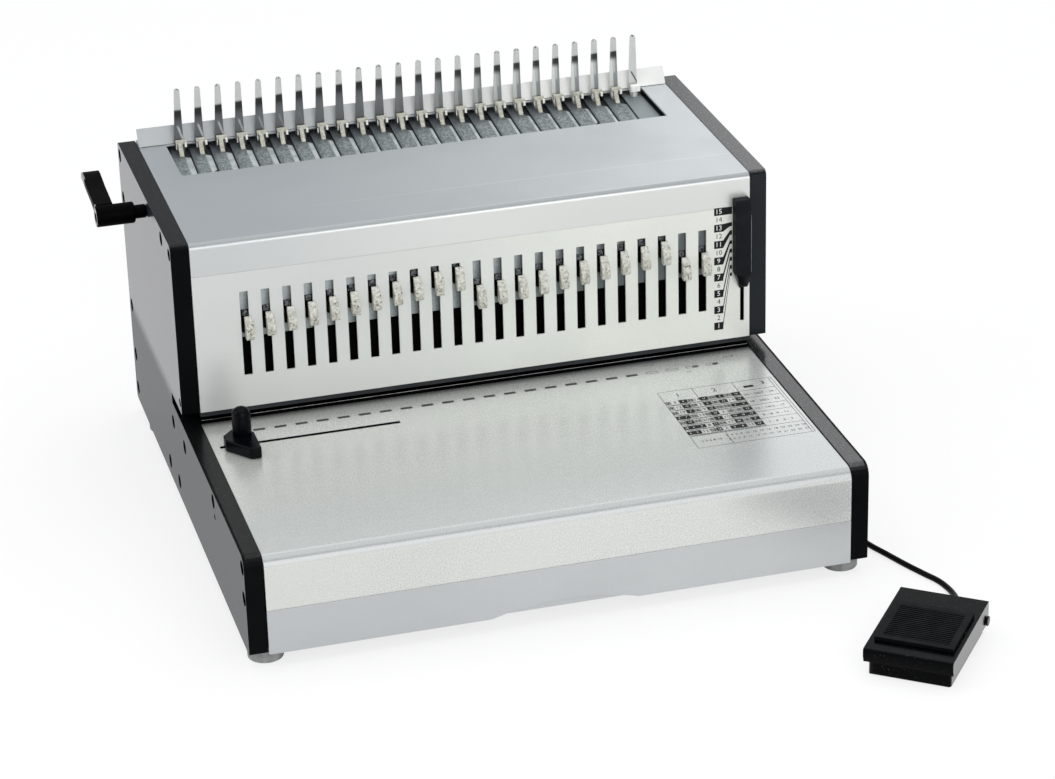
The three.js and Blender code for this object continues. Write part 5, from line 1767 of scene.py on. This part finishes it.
    def dashes(self) -> None:
        """Make the row of dashes in front of the throat and the small numbers near them."""
        solid, open_marks = Shape(), Shape()
        (first_x, first_y), (last_x, last_y) = self.dash_ends
        for index in range(self.dash_count):
            share = index / (self.dash_count - 1)
            x, y = first_x + share * (last_x - first_x), first_y + share * (last_y - first_y)
            if index < self.outlined_from:
                solid.join(self.bar((x, y), self.dash_half))
                continue
            for side in (-1, 1):
                open_marks.join(self.bar((x, y + side * 1.4), (4.2, 0.22)))
                open_marks.join(self.bar((x + side * 4.0, y), (0.2, 1.1)))
            if index >= self.filled_from:
                solid.join(self.bar((x + 2.05, y), (1.65, 1.1)))
        for words, place in self.marks:
            open_marks.join(self.figures(words, 2.4, place))
        self.stamp("punch_dashes", solid, GREY_INK)
        self.stamp("open_dashes", open_marks, GREY_INK)

    def scale(self) -> None:
        """Make the scale of the size stop: numbered cells whose leads close up towards the slider."""
        face = NodeBox("front_panel").low.y
        left, right = self.scale_x
        low, high = self.scale_z
        step = (high - low) / self.scale_count
        upright = Matrix.Rotation(math.radians(90), 4, "X")
        dark, light_numbers, dark_numbers = Shape(), Shape(), Shape()
        for index in range(self.scale_count):
            top = high - index * step
            bottom = top - step
            figures = raised_figures(str(self.scale_count - index), 3.5).change(upright)
            figures.moved((left + right) / 2, face - self.lift + 0.01, (top + bottom) / 2)
            (light_numbers if index % 2 == 0 else dark_numbers).join(figures)
            if index % 2 == 0:
                dark.join(self.lead(face, (bottom + 0.25, top - 0.25), index))
        self.stamp("scale_cells", dark, INK)
        self.stamp("scale_light_numbers", light_numbers, WHITE_INK)
        self.stamp("scale_dark_numbers", dark_numbers, INK)

    def lead(self, face: float, height: Span, index: int) -> Shape:
        """Make one black cell with its lead to the slider.

        Args:
            face: The Y of the panel's face.
            height: The cell's lowest and highest edge.
            index: The cell's number from the top, counted from 0.

        Returns:
            The cell and its lead.
        """
        left, right = self.scale_x
        near, far = self.tick_x
        bottom, top = height
        start_low = bottom if index <= 6 else top - (top - bottom) * 0.75
        tick_low, tick_high = self.ticks[index // 2]
        corners = [(right - 0.1, top), (near, tick_high), (far, tick_high), (far, tick_low), (near, tick_low)]
        corners.append((right - 0.1, start_low))
        outline = [(x, face + 0.02, z) for x, z in corners]
        cell = Shape.block((left, right), (face - self.lift, face + 0.02), (bottom, top))
        return cell.join(Shape.plate(outline, (0, -self.lift - 0.015, 0)))


@dataclass
class PunchUnit:
    """The die, the punch bar with its pins, the drive and the pull tabs.

    Attributes:
        tab_edge: The width of a tab's broken edges.
        tab_x: The left and right edge of a tab's body, from the middle of its slot.
        cap_x: The left and right edge of its cap.
        cap_height: The height of its cap.
        tab_rise: How far the foot and the top of a tab lie above the node's.
        tab_reach: How far its body stands out of the panel.
        throat: The Y behind which, and the height below which, the die is painted dark as shade.
        rail_y: The front and rear of the rail along the throat's floor.
        rail_rise: How high it is.
        bar_front: The Y in front of which the bar is painted near-black as shade.
        plate_x: The left, inner and right edge of the bar's light plates, from a slot's middle.
        plate_y: Their front and rear.
        plate_z: The heights from which and up to which they reach.
        plate_gap: How far above a tab's foot and top a plate's gap starts and ends.
        head_x: The left and right edge of a pin's head, from a slot's middle.
        head_y: Its front and rear.
        head_z: Its foot and top, from a tab's top.
    """

    tab_edge: float = 0.45
    tab_x: Span = (-0.7, 4.9)
    cap_x: Span = (-0.8, 4.0)
    cap_height: float = 3.7
    tab_rise: Span = (2.0, 0.7)
    tab_reach: float = 6.2
    throat: Span = (199.2, 81.0)
    rail_y: Span = (200.2, 200.9)
    rail_rise: float = 1.75
    bar_front: float = 206.6
    plate_x: Point = (-4.2, -2.3, 4.2)
    plate_y: Span = (199.4, 200.2)
    plate_z: Span = (134.2, 171.5)
    plate_gap: Span = (5.4, 4.4)
    head_x: Span = (-1.3, 2.6)
    head_y: Span = (199.8, 202.6)
    head_z: Span = (-0.4, 3.9)

    def build(self) -> None:
        """Make the punch unit."""
        rear, floor = self.throat
        die = Shape.copy_of("die_block").bevel(0.3, 2)
        # The die's faces inside the throat get a near-black colour painted as shade.
        die.dye(1, lambda middle: middle.z < floor or middle.y > rear)
        die.finish("die_block_skin", [THROAT_BLACK, THROAT_SHADE], "frame", "black_paint", ["die_block"])
        self.trim()
        bar = Shape.copy_of("punch_bar").bevel(0.25, 1)
        # The front of the bar, seen through the slots beside the tabs, is painted near-black as shade.
        bar.dye(1, lambda middle: middle.y < self.bar_front)
        bar.finish("punch_bar_skin", [ZINC, PIN_AND_SLOT_SHADE], "punch", "zinc", ["punch_bar"])
        dress("drive_shaft", STEEL, "shaft", "steel", 0.3)
        dress("drive_motor", MOTOR, "frame", "motor_metal", 0.6)
        plates, heads = Shape(), Shape()
        for number in range(1, 24):
            box = NodeBox(f"pin_pull_{number:02d}")
            left, inner, right = (box.middle.x + place for place in self.plate_x)
            foot, top = self.plate_z
            low, high = box.low.z + self.plate_gap[0], box.high.z + self.plate_gap[1]
            for edge, z in ((right, (high, top)), (inner, (low, high)), (right, (foot, low))):
                plates.join(Shape.block((left, edge), self.plate_y, z))
            x = tuple(box.middle.x + place for place in self.head_x)
            z = tuple(box.high.z + place for place in self.head_z)
            heads.join(Shape.block(x, self.head_y, z).bevel(0.5, 2))
            self.tab(box, f"{number:02d}")
        plates.bevel(0.2, 1).finish("punch_bar_plates", SLOT_ZINC, "punch", "zinc")
        heads.finish("pin_heads", PIN_GREY, "punch", "zinc")

    def trim(self) -> None:
        """Make the low rail with a bright top along the floor of the throat, its sides painted dark as shade.
        """
        die, floor = NodeBox("die_block"), NodeBox("base_cover").high.z
        across = (die.low.x + 0.5, die.high.x - 0.5)
        rail = Shape.block(across, self.rail_y, (floor + 0.02, floor + self.rail_rise)).bevel(0.2, 2)
        # The sides keep the near-black painted as shade; the top is steel.
        rail.dye(1, lambda middle: middle.z > floor + self.rail_rise - 0.35)
        rail.finish("throat_rail", [THROAT_SHADE, STEEL], "frame", "steel")

    def tab(self, box: NodeBox, number: str) -> None:
        """Make one pull tab: the sloping body, the pale cap over it and the stem behind it.

        Args:
            box: The box of the tab's node.
            number: The tab's number.
        """
        face = NodeBox("front_panel").low.y
        x, low, high = box.middle.x, box.low.z + self.tab_rise[0], box.high.z + self.tab_rise[1]
        front = face - self.tab_reach
        shoulder = high - self.cap_height
        profile = [
            (face - 0.2, low + 0.9), (face - 2.4, low + 0.1), (front + 1.2, low + 0.1),
            (front, low + 2.2), (front + 0.2, high - 9.0), (face - 3.3, shoulder), (face - 0.2, shoulder),
        ]
        left, right = x + self.tab_x[0], x + self.tab_x[1]
        body = Shape.upright((left, right), profile).bevel(self.tab_edge, 3)
        body.cut(Shape.block((left + 2.3, left + 3.1), (front - 1.0, front + 0.45), (low + 3.2, high - 9.8)))
        profile = [
            (face - 0.1, shoulder - 0.5), (face - 2.9, shoulder - 0.5), (face - 3.0, shoulder + 0.4),
            (face - 2.3, high), (face - 0.1, high),
        ]
        cap = Shape.upright((x + self.cap_x[0], x + self.cap_x[1]), profile).bevel(0.4, 3).dye(1)
        # The stem's near-black stands for the black pin and the shade beside the tab.
        stem = Shape.block((x - 2.1, x + 2.1), (face - 0.6, box.high.y), (low + 4.2, low + 11.8))
        body.join(cap, stem.bevel(0.2, 1).dye(2))
        node, finishes = f"pin_pull_{number}", [IVORY, CAP_WHITE, PIN_AND_SLOT_SHADE]
        body.finish(f"{node}_skin", finishes, f"pull_{number}", "ivory", [node])


@dataclass
class CombUnit:
    """The comb of upright fingers and the sliding plate with its hooks.

    Attributes:
        count: How many fingers there are.
        shift: How far the middle of the comb lies to the right of the machine's.
        gap: The width of the slits between the strips.
        slit_front: The Y at which the slits start.
        last_edge: The X of the last strip's right edge.
        strip_shift: How far the strips lie to the right of the fingers, at the front.
        skew: How far the slits go to the right for each millimetre back.
        notch: The length of the notch behind the right part of each strip.
        slope: The width of the sloping part of each strip, and how far it drops.
        open_corners: The numbers of the strips whose front right corner is cut off.
        tongue_rear: The Y of the rear of the tongues that reach back between the fingers.
        finger_half: Half the width that a tongue leaves for a finger.
        root: The height above which the fingers are drawn out to the left.
        root_left: How far the left edge of a finger moves there.
        root_right: How far its right edge moves.
        bar_top: The height up to which the comb's bar is black.
        sheet: How thick the sliding plate is.
        strip_reach: How far its strips reach back from its front edge.
        hook_rear: The Y of the hooks' flat rear side.
    """

    count: int = 24
    shift: float = 2.4
    gap: float = 0.9
    slit_front: float = 329.0
    last_edge: float = 171.4
    strip_shift: float = -4.3
    skew: float = 0.048
    notch: float = 11.5
    slope: Span = (4.4, 0.7)
    open_corners: tuple[int, ...] = (1, 20)
    tongue_rear: float = 388.0
    finger_half: float = 3.1
    root: float = 206.0
    root_left: float = 2.3
    root_right: float = 0.9
    bar_top: float = 198.4
    sheet: float = 1.5
    strip_reach: float = 64.0
    hook_rear: float = 375.4

    def build(self) -> None:
        """Make the comb and the hook plate."""
        comb = Shape.copy_of("finger_comb")
        comb.bisect((0, 0, self.bar_top), (0, 0, 1)).bisect((0, 0, self.root), (0, 0, 1))
        tip = NodeBox("finger_comb").high.z
        for vert in comb.mesh.verts:
            if vert.co.z > self.root - 0.1:
                share = (tip - vert.co.z) / (tip - self.root)
                place = (vert.co.x - self.finger_x(0) + PITCH / 2) % PITCH - PITCH / 2
                vert.co.x += 0.3 - (self.root_left if place < 0 else self.root_right) * share
        comb.bevel(0.25, 2)
        comb.dye(1, lambda middle: middle.z < self.bar_top)
        comb.finish("finger_comb_skin", [CHROME, THROAT_BLACK], "frame", "chrome", ["finger_comb"])
        self.plate().finish(
            "hook_plate_skin", [STRIP_ZINC, HOOK_GREY, HOOK_WHITE], "hooks", "zinc", ["hook_plate"]
        )

    def finger_x(self, index: int) -> float:
        """Find the middle of a finger, counted from 0."""
        return (index - (self.count - 1) / 2) * PITCH + self.shift

    def plate(self) -> Shape:
        """Make the sliding plate.

        Returns:
            The plate with its strips and hooks.
        """
        box = NodeBox("hook_plate")
        x, y = (box.low.x, box.high.x), (box.low.y, self.slit_front + 0.2)
        plate = Shape.block(x, y, (box.low.z, box.low.z + self.sheet)).bevel(0.15, 1)
        for index in range(self.count):
            plate.join(self.strip(index, box))
            plate.join(self.hook(self.finger_x(index)) if index < self.count - 1 else self.last_hook())
        return plate

    def strip(self, index: int, box: NodeBox) -> Shape:
        """Make one strip, whose right part slopes down.

        Args:
            index: The strip's number, counted from 0.
            box: The box of the plate's node.

        Returns:
            The strip.
        """
        finger = self.finger_x(index)
        first, last = index == 0, index == self.count - 1
        half = (PITCH - self.gap) / 2
        left = box.low.x if first else finger + self.strip_shift - half
        right = self.last_edge if last else finger + self.strip_shift + half
        front, rear = self.slit_front, box.low.y + self.strip_reach
        step = rear - self.notch
        corner = 4.2 if index in self.open_corners else 0.3

        def slant(x: float, y: float) -> Span:
            """Move a corner of a slit with the slits' slant."""
            return (x + (y - front) * self.skew, y)

        outline = [(left, front), (right - corner, front), slant(right - corner, front + 0.8)]
        if last:
            outline = [(left, front), (right, front), (right, self.tongue_rear)]
            outline += [(finger + self.finger_half, self.tongue_rear), (finger + self.finger_half, rear)]
        else:
            outline += [slant(right, front + 0.8 + corner * 1.6), slant(right, step)]
            outline += [slant(right - 1.0, step + 0.8)]
            outline += [(finger + 0.4, step + 1.6), (finger + 0.4, rear)]
        inner = finger - self.finger_half
        outline += [(inner, rear), (inner, self.tongue_rear)]
        if first:
            outline += [(left + 2.6, self.tongue_rear), (left + 2.6, rear), (left, rear)]
        else:
            outline += [slant(left, self.tongue_rear)]
        bottom = box.low.z
        strip = Shape.plate([(x, y, bottom) for x, y in outline], (0, 0, self.sheet))
        if last:
            return strip.bevel(0.15, 1)
        slope_width, slope_drop = self.slope
        crease = right - slope_width
        strip.bisect((crease, front, 0), (1, -self.skew, 0))
        for vert in strip.mesh.verts:
            past = vert.co.x - (vert.co.y - front) * self.skew - crease
            if vert.co.z > bottom + 1 and past > 0:
                vert.co.z -= slope_drop * past / slope_width
        return strip.bevel(0.15, 1)

    def hook(self, x: float) -> Shape:
        """Make one hook: a bar across the finger's root, a leg down to the strip and two white prongs.

        Args:
            x: The X of the finger's middle.

        Returns:
            The hook.
        """
        rear = self.hook_rear
        leg = [(rear, 206.0), (rear, 208.8), (372.8, 208.8), (371.8, 205.0), (366.6, 199.7), (369.8, 199.7)]
        hook = Shape.upright((x - 2.9, x + 0.1), [*leg, (373.6, 204.4)]).bevel(0.25, 2)
        bar = [(375.6, 209.0), (372.9, 209.0), (372.5, 206.7), (375.6, 206.7)]
        hook.join(Shape.upright((x - 4.3, x + 3.0), bar).bevel(0.25, 2)).dye(1)
        for left, width, reach, drop in ((-4.1, 0.7, 1.5, 2.0), (1.7, 1.5, 3.2, 0.2)):
            top = 207.8 - drop
            prong = [(rear, top), (rear - reach, top), (rear - 0.4 - reach, top - 3.2), (rear, top - 4.2)]
            hook.join(Shape.upright((x + left, x + left + width), prong).bevel(0.2, 2).dye(2))
        return hook

    def last_hook(self) -> Shape:
        """Make the white block that stands in for the last hook.

        Returns:
            The block.
        """
        x = self.finger_x(self.count - 1)
        profile = [(375.6, 209.4), (371.8, 209.2), (371.4, 204.6), (375.6, 204.4)]
        block = Shape.upright((x - 4.4, x + 2.4), profile).bevel(0.5, 3)
        foot = Shape.block((x - 2.2, x + 0.6), (375.0, 375.9), (199.6, 205.2)).bevel(0.2, 1)
        return block.join(foot).dye(2)


@dataclass
class Controls:
    """The size stop, the edge guide, the opening lever, the inlet and the switch.

    Attributes:
        axis: The Y and Z of the lever's axis.
        hub_radius: The radius of its hub.
        hub_x: The left and right end of the hub.
        arm_width: The width of its arm.
        arm_out: How far the arm reaches out past the hub.
        highlight_gap: How far from the axis the stretch of the arm's left side without painted highlight
            starts and ends.
        ankle: How far above the size stop's foot its toe starts.
        toe: The height of the toe's slanting part, and how far it slants.
        inlet: The X and Z of the inlet's middle.
    """

    axis: Span = (288.0, 195.5)
    hub_radius: float = 7.2
    hub_x: Span = (-237.0, -211.1)
    arm_width: float = 12.4
    arm_out: float = 0.05
    highlight_gap: Span = (3.0, 43.0)
    ankle: float = 14.9
    toe: Span = (13.4, 4.6)
    inlet: Span = (75.0, 44.0)

    def build(self) -> None:
        """Make each control."""
        self.slider()
        dress("edge_guide", PLASTIC, "guide", "black_plastic", 0.9, 4)
        dress("edge_guide_knob", PLASTIC, "knob", "black_plastic", 0.6, 3)
        dress("lever_shaft", SCREW_STEEL, "lever", "steel", 0.3)
        finishes = [LEVER_BLACK, LEVER_EDGE_HIGHLIGHT]
        self.lever().finish("lever_handle_skin", finishes, "lever", "black_plastic", ["lever_handle"])
        self.mains_inlet()
        dress("power_switch", PLASTIC, "rocker", "black_plastic", 0.4)
        dress("control_board", BOARD, "frame", "board", 0.2)

    def lever(self) -> Shape:
        """Make the hub with its ring, and the curled arm, with painted highlights on the ring and on the ends
        of the arm's left side.

        Returns:
            The lever.
        """
        y, z = self.axis
        left, right = self.hub_x
        length, radius = right - left, self.hub_radius
        profile = [(0.0, 1.4), (4.4, 1.4), (4.4, 0.1), (4.6, 0.0), (radius - 0.4, 0.0), (radius, 0.5)]
        profile += [(radius, length - 0.8), (radius - 0.8, length), (3.6, length), (3.6, length - 1.0)]
        hub = Shape.turned([*profile, (0.0, length - 1.0)], (left, y, z), Axis.X, 40)
        # The hub's left end is painted light as a highlight.
        hub.dye(1, lambda middle: middle.x < left + 0.2)
        arm = [(-5.5, 2.5), (2.0, 7.6), (15.0, 8.4), (30.0, 9.0), (42.0, 10.6), (50.0, 11.4), (55.0, 11.2)]
        arm += [(57.6, 9.4), (58.0, 7.0), (55.6, 5.4), (48.0, 5.2), (38.0, 4.4), (18.0, 3.2), (6.0, 1.6)]
        side = left - self.arm_out
        blade = Shape.upright((side, side + self.arm_width), [(y + back, z + up) for back, up in arm])
        near, far = (y + place for place in self.highlight_gap)
        blade.bisect((0, far, 0), (0, 1, 0)).bisect((0, near, 0), (0, 1, 0)).bevel(0.9, 3, 50.0)
        # The arm's left side is painted light as a highlight, except along the gap.
        blade.dye(1, lambda middle: middle.x < side + 0.7 and not near < middle.y < far)
        profile = [(0.0, 0.0), (4.6, 0.0), (4.6, 7.2), (3.9, 7.8), (0.0, 7.8)]
        return hub.join(blade, Shape.turned(profile, (right, y, z), Axis.X))

    def slider(self) -> None:
        """Make the size stop's slider, with painted shade on its toe and a painted highlight along its right
        edge.
        """
        box = NodeBox("size_stop")
        front, left, foot, top = box.low.y, box.low.x, box.low.z, box.high.z
        face = NodeBox("front_panel").low.y
        ankle = foot + self.ankle
        toe_height, slant = self.toe
        slider = Shape.copy_of("size_stop").bisect((0, 0, ankle), (0, 0, 1))
        for vert in slider.mesh.verts:
            if vert.co.y < face - 0.2:
                vert.co.x = left + 1.5 + (vert.co.x - left) * 0.91
                if vert.co.z > top - 14:
                    vert.co.z += 1.9
                if vert.co.z < ankle + 0.1:
                    vert.co.z += (ankle - vert.co.z) * 0.1
                    lean = max(0.0, ankle - vert.co.z) / toe_height
                    vert.co.x += lean * slant * (1.0 if vert.co.x < left + 6 else 0.0)
        slider.bevel(0.45, 3)
        # The toe's slanting underside is painted near-black as shade.
        slider.dye(2, lambda middle: middle.z < ankle - 0.2)
        # A thin grey strip at the right paints the highlight of the edge.
        x, y = (left + 12.1, left + 12.45), (front - 0.02, front + 0.5)
        slider.join(Shape.block(x, y, (ankle + 0.6, top - 9.0)).bevel(0.08, 1).dye(1))
        finishes = [SLIDER_PLASTIC, SLIDER_EDGE_HIGHLIGHT, TOE_SHADE]
        slider.finish("size_stop_skin", finishes, "stop", "black_plastic", ["size_stop"])

    def mains_inlet(self) -> None:
        """Make the inlet's housing and its three contact pins."""
        rear = NodeBox("mains_inlet").high.y - 2.0
        dress("mains_inlet", PLASTIC, "frame", "black_plastic", 0.4)
        pins = Shape()
        for across, up in ((-6.08, -1.6), (6.08, -1.6), (0.0, 2.4)):
            x, z = self.inlet[0] + across, self.inlet[1] + up
            pins.join(Shape.block((x - 1.0, x + 1.0), (rear - 12.0, rear), (z - 2.0, z + 2.0)).bevel(0.5, 2))
        pins.finish("inlet_pins", STEEL, "frame", "steel")


@dataclass
class Feet:
    """The four rubber feet."""

    def build(self) -> None:
        """Make each foot."""
        for place in ("front_left", "front_right", "rear_left", "rear_right"):
            dress(f"foot_{place}", FOOT_RUBBER, "frame", "grey_rubber", 0.8)


@dataclass
class Pedal:
    """The foot pedal: base, treadle, tread pad, pivot pin and microswitch.

    Attributes:
        corner: The radius of the base's upright corners.
    """

    corner: float = 4.5

    def build(self) -> None:
        """Make each piece of the pedal."""
        base = Shape.copy_of("pedal_base")
        base.cut(self.corner_cutters(base)).bevel(0.3, 2, 50.0)
        base.finish("pedal_base_skin", PEDAL_PAINT, "frame", "black_paint", ["pedal_base"])
        dress("pedal_treadle", PEDAL_PAINT, "treadle", "black_paint", 0.4, 3)
        dress("pedal_tread_pad", PAD_RUBBER, "treadle", "black_rubber", 0.2)
        dress("pedal_pivot_pin", SCREW_STEEL, "frame", "steel", 0.3)
        dress("pedal_switch", PLASTIC, "frame", "black_plastic", 0.3)

    def corner_cutters(self, base: Shape) -> Shape:
        """Make the four pieces that round the upright corners of the turned base off.

        Args:
            base: The base, from whose outermost points the corners are taken.

        Returns:
            The four pieces as one shape.
        """
        places = [vert.co.xy.copy() for vert in base.mesh.verts]
        picks = ((min, 0), (min, 1), (max, 0), (max, 1))
        corners = [pick(places, key=lambda place: place[axis]) for pick, axis in picks]
        group, radius = Shape(), self.corner
        for index, corner in enumerate(corners):
            back = (corners[index - 1] - corner).normalized()
            ahead = (corners[(index + 1) % 4] - corner).normalized()
            centre = corner + (back + ahead) * radius
            outline = [corner - back - ahead, corner - back + ahead * radius, corner + ahead * radius]
            for step in range(1, 8):
                angle = math.radians(90 * step / 8)
                outline.append(centre - back * radius * math.cos(angle) - ahead * radius * math.sin(angle))
            outline += [corner + back * radius, corner + back * radius - ahead]
            group.join(Shape.plate([(x, y, -1.0) for x, y in outline], (0, 0, 20.0)))
        return group.face_out()


def main() -> None:
    """Build the studio, the cord and each sub-assembly in order."""
    logging.basicConfig(level=logging.INFO, format="%(name)s: %(message)s")
    bpy.context.scene.view_settings.view_transform = "Standard"
    for part in (Studio, PedalCord, SidePlates, Covers, PunchUnit, CombUnit, Controls, Print, Feet, Pedal):
        part().build()


if __name__ == "__main__":
    main()
